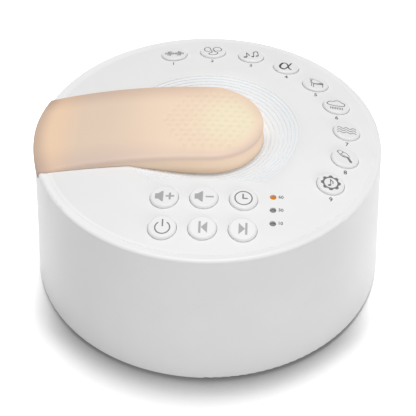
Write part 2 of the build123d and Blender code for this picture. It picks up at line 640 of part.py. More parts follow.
def make_speaker_surround():
    """A half-round roll between the cone's edge and the frame."""
    centre = (CONE_RADIUS + SPEAKER_MOUTH_RADIUS) / 2
    outer = Circle(SURROUND_RADIUS) - Circle(SURROUND_RADIUS - SURROUND_SKIN)
    outer &= Rectangle(4 * SURROUND_RADIUS, 2 * SURROUND_RADIUS, align=(Align.CENTER, Align.MAX))
    return revolve(Plane.XZ * Pos(centre, CONE_EDGE_Z + CONE_SKIN) * outer, Axis.Z, 360)


def make_speaker_spider():
    """A corrugated ring between the voice coil and the frame."""
    waves = 5
    steps = waves * 4
    width = SPIDER_RADIUS - COIL_OUTER_RADIUS
    lower = []
    for index in range(steps + 1):
        radius = COIL_OUTER_RADIUS + width * index / steps
        lower.append((radius, SPIDER_Z - 0.2 + 0.3 * math.sin(math.tau * waves * index / steps)))
    upper = [(radius, height + 0.4) for radius, height in reversed(lower)]
    return turned(*lower, *upper)


def make_voice_coil():
    return disc_ring(COIL_INNER_RADIUS, COIL_OUTER_RADIUS, CONE_NECK_Z - 0.6, BASKET_TOP + 3.0)


def make_dust_cap():
    rise = 2.0
    rim_z = CONE_NECK_Z - 0.6
    ball_radius = (COIL_OUTER_RADIUS**2 + rise**2) / (2 * rise)
    shell = Sphere(ball_radius) - Sphere(ball_radius - 0.5)
    shell = Pos(0, 0, rim_z - rise + ball_radius) * shell
    return shell & pin(0, 0, rim_z - rise - 1, rim_z, COIL_OUTER_RADIUS)


# Power board at the rear

POWER_BOARD_SCREWS = [(-11.0, POWER_BOARD_Y - 6.0), (11.0, POWER_BOARD_Y - 6.0)]
POWER_BOARD_TOP = POWER_BOARD_Z + BOARD_THICKNESS


def make_power_board():
    length, width = POWER_BOARD_SIZE
    board = block(0, POWER_BOARD_Y, POWER_BOARD_Z, POWER_BOARD_TOP, length, width)
    board = chamfer(board.edges().filter_by(Axis.Z).group_by(Axis.Y)[-1], 2.5)
    for x, y in POWER_BOARD_SCREWS:
        board -= pin(x, y, POWER_BOARD_Z - 1, POWER_BOARD_TOP + 1, SCREW_RADIUS + 0.2)
    return board


def make_power_socket():
    """A small oval socket with a central tongue, its mouth in the floor of the rear recess."""
    centre_z = POWER_BOARD_TOP + SOCKET_HEIGHT / 2
    plane = rearward(SOCKET_RECESS_Y - SOCKET_LENGTH, centre_z)
    shell = extrude(plane * SlotOverall(SOCKET_WIDTH, SOCKET_HEIGHT), amount=SOCKET_LENGTH)
    mouth = SlotOverall(SOCKET_WIDTH - 2 * SOCKET_SHELL, SOCKET_HEIGHT - 2 * SOCKET_SHELL)
    shell -= extrude(plane.offset(1.2) * mouth, amount=SOCKET_LENGTH)
    return shell + extrude(plane.offset(1.0) * Rectangle(6.7, 0.7), amount=SOCKET_LENGTH - 2.0)


def make_board_parts():
    """The amplifier and sound chips, a choke and two capacitors on the power board."""
    places = [(-4.5, -2.0, 5.0, 5.0, 1.4), (3.0, -2.0, 6.0, 4.0, 1.4), (-9.5, 2.5, 4.0, 4.0, 2.4)]
    chips = [
        block(x, POWER_BOARD_Y + y, POWER_BOARD_TOP, POWER_BOARD_TOP + height, length, width)
        for x, y, length, width, height in places
    ]
    can = pin(9.5, POWER_BOARD_Y + 2.0, POWER_BOARD_TOP, POWER_BOARD_TOP + 7.0, 2.5)
    return group(chips + [can])


def main():
    keep("housing", make_housing())
    keep("top_panel", make_top_panel())
    keep("base_cover", make_base_cover())
    keep("rubber_feet", group(make_foot(angle) for angle in (0.0, 90.0, 180.0, 270.0)))

    keep("lamp_shade", make_lamp_shade())
    keep("lamp_board", make_lamp_board())
    keep("lamp_reflector", make_lamp_reflector())
    keep("lamp_leds", group(
        block(x, y, LAMP_BOARD_TOP, LAMP_BOARD_TOP + 1.2, 2.8, 2.8) for x, y in lamp_led_places()
    ))

    for name, (x, y) in KEY_PLACES.items():
        keep(name, make_key(x, y))
        keep(name + "_dome", make_key_dome(x, y))
    keep("key_board", make_key_board())

    lenses = []
    leds = []
    for y in INDICATOR_Y:
        top = panel_height(math.hypot(INDICATOR_X, y)) - INDICATOR_RECESS
        lenses.append(pin(INDICATOR_X, y, KEY_BOARD_TOP + 0.9, top, INDICATOR_RADIUS))
        leds.append(block(INDICATOR_X, y, KEY_BOARD_TOP, KEY_BOARD_TOP + 0.8, 1.6, 1.6))
    keep("indicator_lenses", group(lenses))
    keep("indicator_leds", group(leds))

    keep("speaker_frame", make_speaker_frame())
    keep("speaker_magnet", make_speaker_magnet())
    keep("speaker_cone", make_speaker_cone())
    keep("speaker_surround", make_speaker_surround())
    keep("speaker_spider", make_speaker_spider())
    keep("voice_coil", make_voice_coil())
    keep("dust_cap", make_dust_cap())
    gasket_bottom = SPEAKER_SEAT - GASKET_THICKNESS
    keep("speaker_gasket", disc_ring(GASKET_INNER_RADIUS, GASKET_OUTER_RADIUS, gasket_bottom, SPEAKER_SEAT))

    keep("power_board", make_power_board())
    keep("power_socket", make_power_socket())
    keep("board_parts", make_board_parts())

    keep("panel_screws", group(
        screw(*polar(PANEL_SCREW_CIRCLE, angle), EAR_BOTTOM, EAR_TOP + 4.0) for angle in PANEL_SCREW_ANGLES
    ))
    keep("base_screws", group(
        screw(*polar(BASE_SCREW_CIRCLE, angle), BASE_Z + 1.0, BASE_TOP + 8.0) for angle in BASE_SCREW_ANGLES
    ))
    keep("speaker_screws", group(
        screw(*polar(SPEAKER_SCREW_CIRCLE, angle), FLANGE_TOP, BASE_TOP - 0.8, up=False)
        for angle in BASE_SCREW_ANGLES
    ))
    key_board_screws = [
        screw(*polar(radius, angle), KEY_BOARD_BOTTOM, KEY_BOARD_TOP + 5.0)
        for radius, angle in KEY_BOARD_POSTS
    ]
    lamp_board_screws = [
        screw(x, y, LAMP_BOARD_TOP, LAMP_BOTTOM - 1.4, up=False) for x, y in LAMP_BOARD_SCREWS
    ]
    power_board_screws = [
        screw(x, y, POWER_BOARD_TOP, BASE_TOP - 0.8, up=False) for x, y in POWER_BOARD_SCREWS
    ]
    keep("board_screws", group(key_board_screws + lamp_board_screws + power_board_screws))

    keep("speaker_leads", cable(
        [(6.0, 26.5, FLANGE_TOP), (6.0, 26.5, 15.5), (5.0, 30.0, 21.5), (3.0, 36.5, 24.0), (1.0, 43.0, 22.0),
         (0.0, 46.0, 16.5), (0.0, 46.0, POWER_BOARD_TOP)], 1.6))
    keep("lamp_lead", cable(
        [(*LAMP_LEAD_HOLE, LAMP_BOTTOM), (*LAMP_LEAD_HOLE, 48.5), (-9.0, -11.0, 41.0), (-12.0, -18.5, 37.0),
         (-15.5, -27.0, 36.0), (-18.5, -34.5, 40.5), (-18.5, -34.5, KEY_BOARD_BOTTOM)], 1.6))
    keep("panel_lead", cable(
        [(20.0, 36.0, KEY_BOARD_BOTTOM), (20.0, 36.0, 40.5), (18.0, 39.5, 32.5), (12.5, 43.0, 26.5),
         (6.0, 47.5, 22.0), (3.5, 51.5, 17.5), (3.5, 51.5, POWER_BOARD_TOP + 1.4)], 2.0))
    print(len(made), "nodes")


if __name__ == "__main__":
    main()
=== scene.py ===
"""Looks of a round table-top sound machine: finishes, printed signs, night light and studio.

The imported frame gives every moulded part. This script gives each part its finish, models the
pieces that carry print, dimples, screw recesses and light, and sets the studio around them. All
sizes are in metres.
"""

import json
import logging
import math
from collections.abc import Callable, Iterable, Sequence
from dataclasses import dataclass, replace
from enum import Enum
from functools import cache, partial, reduce

import bpy
from mathutils import Matrix, Vector

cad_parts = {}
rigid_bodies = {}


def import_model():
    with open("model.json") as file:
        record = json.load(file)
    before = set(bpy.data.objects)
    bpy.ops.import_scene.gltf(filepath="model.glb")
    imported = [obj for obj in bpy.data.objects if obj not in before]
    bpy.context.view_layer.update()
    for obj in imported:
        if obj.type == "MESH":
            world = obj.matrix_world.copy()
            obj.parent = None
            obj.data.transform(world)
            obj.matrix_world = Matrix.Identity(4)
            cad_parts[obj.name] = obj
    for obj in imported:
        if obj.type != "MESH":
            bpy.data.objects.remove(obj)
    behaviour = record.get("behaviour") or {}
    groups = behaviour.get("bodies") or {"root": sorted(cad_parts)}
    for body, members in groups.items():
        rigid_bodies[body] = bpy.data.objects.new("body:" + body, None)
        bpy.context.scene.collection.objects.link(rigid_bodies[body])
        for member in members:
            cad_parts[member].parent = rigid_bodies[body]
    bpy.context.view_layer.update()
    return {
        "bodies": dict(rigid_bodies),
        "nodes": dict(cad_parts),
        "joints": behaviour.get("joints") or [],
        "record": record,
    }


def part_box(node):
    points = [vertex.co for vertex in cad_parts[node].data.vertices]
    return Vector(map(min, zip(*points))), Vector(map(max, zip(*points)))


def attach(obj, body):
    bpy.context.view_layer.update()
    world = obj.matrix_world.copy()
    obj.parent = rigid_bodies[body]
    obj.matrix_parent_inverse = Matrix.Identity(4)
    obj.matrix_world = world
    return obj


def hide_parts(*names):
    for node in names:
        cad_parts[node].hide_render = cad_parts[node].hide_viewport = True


LOG = logging.getLogger("sound_machine")
MM = 0.001
WELD_DISTANCE = 1e-7
BEVEL_SEGMENTS = 4
BEVEL_ANGLE = 40.0
PART_SMOOTHING = 28.0
CLOUD_SPAN = (0.35, 0.65)
GRAIN_LAYERS = 3.0
FLOAT, VECTOR, COLOUR = "NodeSocketFloat", "NodeSocketVector", "NodeSocketColor"

Object = bpy.types.Object
Node = bpy.types.Node
Socket = bpy.types.NodeSocket
Point = tuple[float, float]
Span = tuple[float, float]
Colour = tuple[float, float, float]


def grey(level: float) -> Colour:
    """A neutral colour of a given linear level."""
    return (level, level, level)


# Modelling helpers


def deselect() -> None:
    """Leaves object mode with nothing selected, because a load leaves every part selected."""
    if bpy.context.object and bpy.context.object.mode != "OBJECT":
        bpy.ops.object.mode_set(mode="OBJECT")
    bpy.ops.object.select_all(action="DESELECT")


def pick(*objects: Object) -> None:
    """Selects these objects only and makes the first one active.

    Args:
        *objects: The objects that the next operators work on.
    """
    deselect()
    for obj in objects:
        obj.select_set(True)
    bpy.context.view_layer.objects.active = objects[0]


def added(operator: Callable, **options: object) -> Object:
    """Adds an object while nothing else is selected.

    Args:
        operator: The operator that adds it.
        **options: The operator's options.

    Returns:
        The new object, which is the active one.
    """
    deselect()
    operator(**options)
    return bpy.context.object


def named(name: str) -> Object:
    """Names the active object and its mesh.

    Args:
        name: The piece's name.

    Returns:
        The active object.
    """
    obj = bpy.context.object
    obj.name = name
    obj.data.name = name
    return obj


def joined(name: str, parts: Sequence[Object]) -> Object:
    """Joins meshes into one piece.

    Args:
        name: The new piece's name.
        parts: The meshes, of which the first takes in the others.

    Returns:
        The joined piece.
    """
    pick(*parts)
    if len(parts) > 1:
        bpy.ops.object.join()
    return named(name)


def settle(obj: Object) -> None:
    """Moves an object's place, turn and size into its mesh."""
    pick(obj)
    bpy.ops.object.transform_apply(location=True, rotation=True, scale=True)


def edit_all(obj: Object, operator: Callable, **options: object) -> None:
    """Runs an operator on all of an object's mesh.

    Args:
        obj: The mesh object.
        operator: The operator of edit mode.
        **options: The operator's options.
    """
    pick(obj)
    bpy.ops.object.mode_set(mode="EDIT")
    bpy.ops.mesh.select_all(action="SELECT")
    operator(**options)
    bpy.ops.object.mode_set(mode="OBJECT")


def apply_modifiers(obj: Object) -> None:
    """Applies every modifier of an object, in order.

    Args:
        obj: The object that has them.
    """
    pick(obj)
    for modifier in list(obj.modifiers):
        bpy.ops.object.modifier_apply(modifier=modifier.name)


def smooth(obj: Object, degrees: float) -> None:
    """Shades a mesh smooth, with its edges above an angle kept sharp."""
    pick(obj)
    bpy.ops.object.shade_smooth_by_angle(angle=math.radians(degrees))


def bevelled(obj: Object, width: float) -> None:
    """Rounds the sharp edges of a mesh.

    Args:
        obj: The mesh object.
        width: The rounding's width.
    """
    modifier = obj.modifiers.new("rounding", "BEVEL")
    modifier.width = width
    modifier.segments = BEVEL_SEGMENTS
    modifier.limit_method = "ANGLE"
    modifier.angle_limit = math.radians(BEVEL_ANGLE)
    apply_modifiers(obj)


def cut_by(obj: Object, cutter: Object) -> None:
    """Takes a cutter's space out of a mesh and deletes the cutter.

    Args:
        obj: The mesh that is cut.
        cutter: The closed mesh that is taken away.
    """
    modifier = obj.modifiers.new("cut", "BOOLEAN")
    modifier.operation = "DIFFERENCE"
    modifier.solver = "EXACT"
    modifier.object = cutter
    apply_modifiers(obj)
    bpy.data.objects.remove(cutter, do_unlink=True)


def duplicate(obj: Object) -> Object:
    """Copies an object with a mesh of its own.

    Args:
        obj: The object.

    Returns:
        The copy, in the scene.
    """
    copy = obj.copy()
    copy.data = obj.data.copy()
    bpy.context.scene.collection.objects.link(copy)
    return copy


def copy_of_part(part: Object, name: str) -> Object:
    """Copies a part of the frame as a welded mesh that stands free.

    Args:
        part: The part's object.
        name: The copy's name.

    Returns:
        The copy, at the origin.
    """
    copy = duplicate(part)
    copy.parent = None
    copy.name = name
    for key in list(copy.keys()):
        if key.startswith("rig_"):
            del copy[key]
    edit_all(copy, bpy.ops.mesh.remove_doubles, threshold=WELD_DISTANCE)
    if copy.data.has_custom_normals:
        bpy.ops.mesh.customdata_custom_splitnormals_clear()
    return copy


def dress(obj: Object, material: bpy.types.Material) -> None:
    """Gives an object one material all over.

    Args:
        obj: The object.
        material: Its finish.
    """
    obj.data.materials.clear()
    obj.data.materials.append(material)
    for polygon in obj.data.polygons:
        polygon.material_index = 0


# Shader building


class Tree:
    """A small hand for building node trees."""

    def __init__(self, tree: bpy.types.NodeTree) -> None:
        """Takes hold of a node tree."""
        self.tree = tree
        self.nodes = tree.nodes

    @classmethod
    def of_material(cls, name: str) -> tuple["Tree", Node]:
        """Makes a material.

        Args:
            name: The material's name.

        Returns:
            Its tree and its Principled node.
        """
        material = bpy.data.materials.new(name)
        material.use_nodes = True
        hand = cls(material.node_tree)
        return hand, hand.nodes["Principled BSDF"]

    @classmethod
    def of_group(
        cls, name: str, inputs: dict[str, str], outputs: dict[str, str]
    ) -> tuple["Tree", Node, Node]:
        """Makes a node group.

        Args:
            name: The group's name.
            inputs: The inputs' names and socket types.
            outputs: The outputs' names and socket types.

        Returns:
            The tree, its input node and its output node.
        """
        hand = cls(bpy.data.node_groups.new(name, "ShaderNodeTree"))
        for way, sockets in (("INPUT", inputs), ("OUTPUT", outputs)):
            for label, kind in sockets.items():
                hand.tree.interface.new_socket(label, in_out=way, socket_type=kind)
        return hand, hand.add("NodeGroupInput"), hand.add("NodeGroupOutput")

    def add(self, kind: str, values: dict | None = None, **settings: object) -> Node:
        """Adds a node.

        Args:
            kind: The node's type name.
            values: Input names or numbers, with a value or an output socket to link from.
            **settings: Properties of the node itself.

        Returns:
            The new node.
        """
        node = self.nodes.new(kind)
        for key, value in settings.items():
            setattr(node, key, value)
        self.fill(node, values or {})
        return node

    def fill(self, node: Node, values: dict) -> None:
        """Feeds several inputs of a node, each by its name or number."""
        for key, value in values.items():
            self.feed(node.inputs[key], value)

    def feed(self, socket: Socket, value: object) -> None:
        """Links an output to a socket, or sets the socket's own value.

        Args:
            socket: The input socket.
            value: An output socket, a number or a colour.
        """
        if isinstance(value, Socket):
            self.tree.links.new(value, socket)
        elif socket.type == "RGBA":
            socket.default_value = (*value, 1.0)
        else:
            socket.default_value = value

    def axes(self, place: Socket) -> list[Socket]:
        """The X, Y and Z of some coordinates."""
        return list(self.add("ShaderNodeSeparateXYZ", {0: place}).outputs)

    def math(self, operation: str, first: object, second: object = 0.0) -> Socket:
        """The result of a Math node."""
        return self.add("ShaderNodeMath", {0: first, 1: second}, operation=operation).outputs[0]

    def product(self, *factors: object) -> Socket:
        """The product of numbers and outputs."""
        return reduce(partial(self.math, "MULTIPLY"), factors)

    def largest(self, *values: object) -> Socket:
        """The largest of some numbers and outputs."""
        return reduce(partial(self.math, "MAXIMUM"), values)

    def length(self, x: object, y: object) -> Socket:
        """The length of a flat step along X and Y."""
        squares = [self.math("POWER", side, 2.0) for side in (x, y)]
        return self.math("SQRT", self.math("ADD", *squares))

    def ramp(
        self, value: object, start: object, end: object, low: float = 0.0, high: float = 1.0
    ) -> Socket:
        """Maps a value smoothly: it gives low up to the start, and high from the end on.

        Args:
            value: The value that is mapped.
            start: The value up to which the result is low.
            end: The value from which on the result is high.
            low: The result at the start.
            high: The result at the end.

        Returns:
            The mapped value.
        """
        limits = {"From Min": start, "From Max": end, "To Min": low, "To Max": high}
        settings = {"interpolation_type": "SMOOTHSTEP"}
        return self.add("ShaderNodeMapRange", {"Value": value, **limits}, **settings).outputs[0]

    def blend(self, share: object, first: object, second: object, kind: str = "MIX") -> Socket:
        """Mixes two colours by the share of the second one."""
        values = {0: share, 6: first, 7: second}
        return self.add("ShaderNodeMix", values, data_type="RGBA", blend_type=kind).outputs[2]

    def multiplied(self, first: object, second: object) -> Socket:
        """The product of two colours."""
        return self.blend(1.0, first, second, "MULTIPLY")

    def tinted(self, colour: object, *tints: tuple[object, Colour]) -> Socket:
        """Multiplies a colour by tints, each of them where its mask is 1.

        Args:
            colour: The colour or output.
            *tints: Masks with their tints.

        Returns:
            The tinted colour.
        """
        for mask, tint in tints:
            colour = self.multiplied(colour, self.blend(mask, grey(1.0), tint))
        return colour

    def noise(self, place: object, scale: object, detail: float = 2.0) -> Socket:
        """A noise pattern, by its features per metre and its number of finer layers."""
        values = {"Vector": place, "Scale": scale, "Detail": detail}
        return self.add("ShaderNodeTexNoise", values).outputs[0]

    def ray_is(self, *kinds: str) -> Socket:
        """Whether a ray is of one of some kinds."""
        path = self.add("ShaderNodeLightPath").outputs
        return self.largest(*(path[f"Is {kind} Ray"] for kind in kinds))


@cache
def moulding() -> bpy.types.NodeTree:
    """The skin of a moulded part: faint tone clouds, a fine grain and a slightly uneven gloss.

    Returns:
        A group that gives the skin's colour, roughness and height.
    """
    hand, given, result = Tree.of_group(
        "moulding",
        {
            "Vector": VECTOR, "Colour": COLOUR, "Shade": COLOUR, "Cloud Scale": FLOAT,
            "Grain Scale": FLOAT, "Roughness": FLOAT, "Roughness Spread": FLOAT,
        },
        {"Colour": COLOUR, "Roughness": FLOAT, "Height": FLOAT},
    )
    start = given.outputs
    cloud = hand.ramp(hand.noise(start["Vector"], start["Cloud Scale"]), *CLOUD_SPAN)
    grain = hand.noise(start["Vector"], start["Grain Scale"], GRAIN_LAYERS)
    uneven = hand.product(hand.math("SUBTRACT", grain, 0.5), start["Roughness Spread"])
    hand.fill(result, {
        "Colour": hand.blend(cloud, start["Colour"], start["Shade"]),
        "Roughness": hand.math("ADD", start["Roughness"], uneven),
        "Height": grain,
    })
    return hand.tree


@dataclass(frozen=True)
class Tone:
    """One tone of the lit lamp: the shade's own colour, and the light that comes through it."""

    own: Colour
    light: Colour


@dataclass(frozen=True)
class LampTones:
    """The tones of the lamp's shade, which is lit from inside.

    The head glows palest and yellowest, and a warm patch lies before the tail's brown end. A
    browner painted shade darkens the rear edge, and a lilac painted shade darkens the ridge between
    the top and the front wall, both where the top rolls over. Each span goes from no tone to the
    full tone. An inset is a distance from the lamp's outline inwards, and a drop is a depth below
    the lamp's domed top.

    Attributes:
        half_width: Half the lamp's width.
        crest_z: The height of the lamp's crest over its head.
        bend_radius: The bend of the top along the lamp.
        edge_fall: How far the top's side edge lies below its middle, at the head.
        edge_growth: How that fall grows with the square of the distance from the head.
    """

    half_width: float = 20.7 * MM
    crest_z: float = 70.0 * MM
    bend_radius: float = 258.0 * MM
    edge_fall: float = 0.25 * MM
    edge_growth: float = 0.494

    tail: Tone = Tone((0.69, 0.54, 0.42), (0.065, 0.048, 0.035))
    middle: Tone = Tone((0.70, 0.55, 0.42), (0.167, 0.12, 0.088))
    middle_x: Span = (-42.0 * MM, -10.0 * MM)
    glow: Tone = Tone((0.72, 0.62, 0.455), (0.163, 0.152, 0.109))
    glow_centre_x: float = 10.0 * MM
    glow_reach: Span = (21.0 * MM, 4.0 * MM)
    glow_inset: Span = (0.5 * MM, 5.5 * MM)
    patch: Tone = Tone((0.72, 0.535, 0.375), (0.12, 0.073, 0.048))
    patch_x: Span = (-46.0 * MM, -57.0 * MM)
    wall: Tone = Tone((0.70, 0.545, 0.42), (0.23, 0.175, 0.125))
    wall_drop: Span = (0.6 * MM, 2.4 * MM)
    tail_wall_light: Colour = (0.02, 0.015, 0.012)
    head_wall_x: Span = (-45.0 * MM, 15.0 * MM)
    foot_own: Colour = (0.70, 0.54, 0.395)
    foot_drop: Span = (5.0 * MM, 9.5 * MM)
    end: Tone = Tone((0.56, 0.41, 0.31), (0.02, 0.013, 0.01))
    end_reach: Span = (58.5 * MM, 65.8 * MM)

    # Painted shade: these tints darken the colour and the light along the rear edge and the ridge,
    # where the top rolls over.
    rear_painted_shade_tint: Colour = (0.79, 0.745, 0.75)
    rear_inset: Span = (11.0 * MM, -1.5 * MM)
    rear_y: Span = (0.0, 6.0 * MM)
    rear_x: Span = (14.0 * MM, -10.0 * MM)
    rear_share: Span = (0.25, 1.0)
    ridge_painted_shade_tint: Colour = (0.90, 0.895, 0.955)
    ridge_inset: Span = (12.0 * MM, 3.2 * MM)
    ridge_x: Span = (-30.0 * MM, 12.0 * MM)
    ridge_drop: Span = (3.0 * MM, 1.2 * MM)
    ridge_y: Span = (2.0 * MM, -6.0 * MM)

    def inset(self, span: Span) -> Span:
        """Turns insets into distances from the lamp's middle line."""
        return (self.half_width - span[0], self.half_width - span[1])

    def drop(self, hand: Tree, x: Socket, y: Socket, z: Socket) -> Socket:
        """The depth of a place below the lamp's domed top.

        Args:
            hand: The group's tree.
            x: The place along X.
            y: The place along Y.
            z: Its height.

        Returns:
            The depth.
        """
        x_squared, y_squared = (hand.math("POWER", side, 2.0) for side in (x, y))
        edge = hand.math("ADD", hand.product(x_squared, self.edge_growth), self.edge_fall)
        side = hand.math("DIVIDE", hand.product(edge, y_squared), self.half_width**2)
        fall = hand.math("ADD", hand.math("DIVIDE", x_squared, 2 * self.bend_radius), side)
        return hand.math("SUBTRACT", hand.math("SUBTRACT", self.crest_z, fall), z)

    @cache
    def group(self) -> bpy.types.NodeTree:
        """Builds the node group of the tones.

        Returns:
            A group that gives the shade's own colour and the light that comes through it.
        """
        hand, given, result = Tree.of_group(
            "lamp_light", {"Vector": VECTOR}, {"Colour": COLOUR, "Light": COLOUR}
        )
        x, y, z = hand.axes(given.outputs["Vector"])
        drop = self.drop(hand, x, y, z)
        from_middle = hand.length(hand.math("MAXIMUM", x, 0.0), y)
        from_glow = hand.length(hand.math("SUBTRACT", x, self.glow_centre_x), y)
        glow = hand.product(
            hand.ramp(from_glow, *self.glow_reach),
            hand.ramp(from_middle, *self.inset(self.glow_inset)),
        )
        wall = hand.ramp(drop, *self.wall_drop)
        wall_light = hand.blend(
            hand.ramp(x, *self.head_wall_x), self.tail_wall_light, self.wall.light
        )
        foot = hand.ramp(drop, *self.foot_drop)

        own, light = self.tail.own, self.tail.light
        for mask, own_tone, light_tone in (
            (hand.ramp(x, *self.middle_x), self.middle.own, self.middle.light),
            (glow, self.glow.own, self.glow.light),
            (hand.ramp(x, *self.patch_x), self.patch.own, self.patch.light),
            (wall, self.wall.own, wall_light),
            (foot, self.foot_own, None),
            (hand.ramp(hand.length(x, y), *self.end_reach), self.end.own, self.end.light),
        ):
            own = hand.blend(mask, own, own_tone)
            if light_tone is not None:
                light = hand.blend(mask, light, light_tone)

        # Painted shade along the rear edge and the ridge, put into both the colour and the light.
        rear = hand.product(
            hand.ramp(from_middle, *self.inset(self.rear_inset)),
            hand.ramp(y, *self.rear_y),
            hand.ramp(x, *self.rear_x, *self.rear_share),
        )
        ridge = hand.product(
            hand.ramp(
                from_middle,
                hand.ramp(x, *self.ridge_x, *self.inset(self.ridge_inset)),
                self.half_width,
            ),
            hand.ramp(drop, *self.ridge_drop),
            hand.ramp(y, *self.ridge_y),
        )
        tints = ((rear, self.rear_painted_shade_tint), (ridge, self.ridge_painted_shade_tint))
        hand.fill(result, {"Colour": hand.tinted(own, *tints), "Light": hand.tinted(light, *tints)})
        return hand.tree


@dataclass(frozen=True)
class Finish:
    """The finish of one kind of surface.

    Attributes:
        name: The material's name.
        colour: Its main colour, linear.
        shade: The colour that faint clouds turn it to.
        roughness: Its roughness.
        spread: How much the roughness varies with the grain.
        metallic: 1 for bare metal.
        cloud_scale: Clouds per metre.
        grain_scale: Grains per metre.
        grain_depth: The grain's depth in metres.
        coat: A clear coat's weight.
        subsurface: How far the surface scatters light inside, as a weight.
        scatter: The length of that scattering in metres.
    """

    name: str
    colour: Colour
    shade: Colour
    roughness: float = 0.45
    spread: float = 0.08
    metallic: float = 0.0
    cloud_scale: float = 40.0
    grain_scale: float = 3000.0
    grain_depth: float = 4e-6
    coat: float = 0.0
    subsurface: float = 0.0
    scatter: float = 2.0 * MM

    def start(self) -> tuple[Tree, Node, Node, Socket]:
        """Makes the material with its moulded skin.

        Returns:
            The tree, the Principled node, the skin's group node and the object coordinates.
        """
        hand, shader = Tree.of_material(self.name)
        place = hand.add("ShaderNodeTexCoord").outputs["Object"]
        values = {
            "Vector": place, "Colour": self.colour, "Shade": self.shade,
            "Cloud Scale": self.cloud_scale, "Grain Scale": self.grain_scale,
            "Roughness": self.roughness, "Roughness Spread": self.spread,
        }
        skin = hand.add("ShaderNodeGroup", values, node_tree=moulding())
        hand.fill(shader, {
            "Metallic": self.metallic, "Coat Weight": self.coat,
            "Subsurface Weight": self.subsurface, "Subsurface Scale": self.scatter,
            "Base Color": skin.outputs["Colour"], "Roughness": skin.outputs["Roughness"],
        })
        self.relief(hand, shader, skin.outputs["Height"], self.grain_depth)
        return hand, shader, skin, place

    @staticmethod
    def relief(hand: Tree, shader: Node, height: object, depth: float) -> None:
        """Feeds a height to the shader's normal, by the depth that a height of 1 stands for."""
        bump = hand.add("ShaderNodeBump", {"Strength": 1.0, "Distance": depth, "Height": height})
        hand.feed(shader.inputs["Normal"], bump.outputs["Normal"])

    def detail(self, hand: Tree, shader: Node, skin: Node, place: Socket) -> None:
        """Adds what a special finish has beyond the skin; a plain finish has nothing more.

        Args:
            hand: The material's node tree.
            shader: The material's shader.
            skin: The node that gives the skin's colour, roughness and height.
            place: The point on the piece.
        """

    def material(self) -> bpy.types.Material:
        """The finish's material, made at its first use.

        Returns:
            The material.
        """
        if self.name not in bpy.data.materials:
            self.detail(*self.start())
        return bpy.data.materials[self.name]


@dataclass(frozen=True)
class RimHighlightShell(Finish):
    """The housing's plastic, with a painted highlight on the rim at the lamp's side."""

    # Painted highlight on the rim's top at the lamp's side.
    rim_z: Span = (58.6 * MM, 59.3 * MM)
    rim_highlight_x: Span = (5.0 * MM, -40.0 * MM)
    rim_highlight_tint: Colour = grey(1.04)

    def detail(self, hand: Tree, shader: Node, skin: Node, place: Socket) -> None:
        """Adds the painted highlight on the rim.

        Args:
            hand: The material's node tree.
            shader: The material's shader.
            skin: The node that gives the skin's colour, roughness and height.
            place: The point on the piece.
        """
        x, _, z = hand.axes(place)
        # Painted highlight: the rim's top is lightened on the lamp's side.
        rim = hand.product(hand.ramp(z, *self.rim_z), hand.ramp(x, *self.rim_highlight_x))
        shaded = hand.tinted(skin.outputs["Colour"], (rim, self.rim_highlight_tint))
        hand.feed(shader.inputs["Base Color"], shaded)


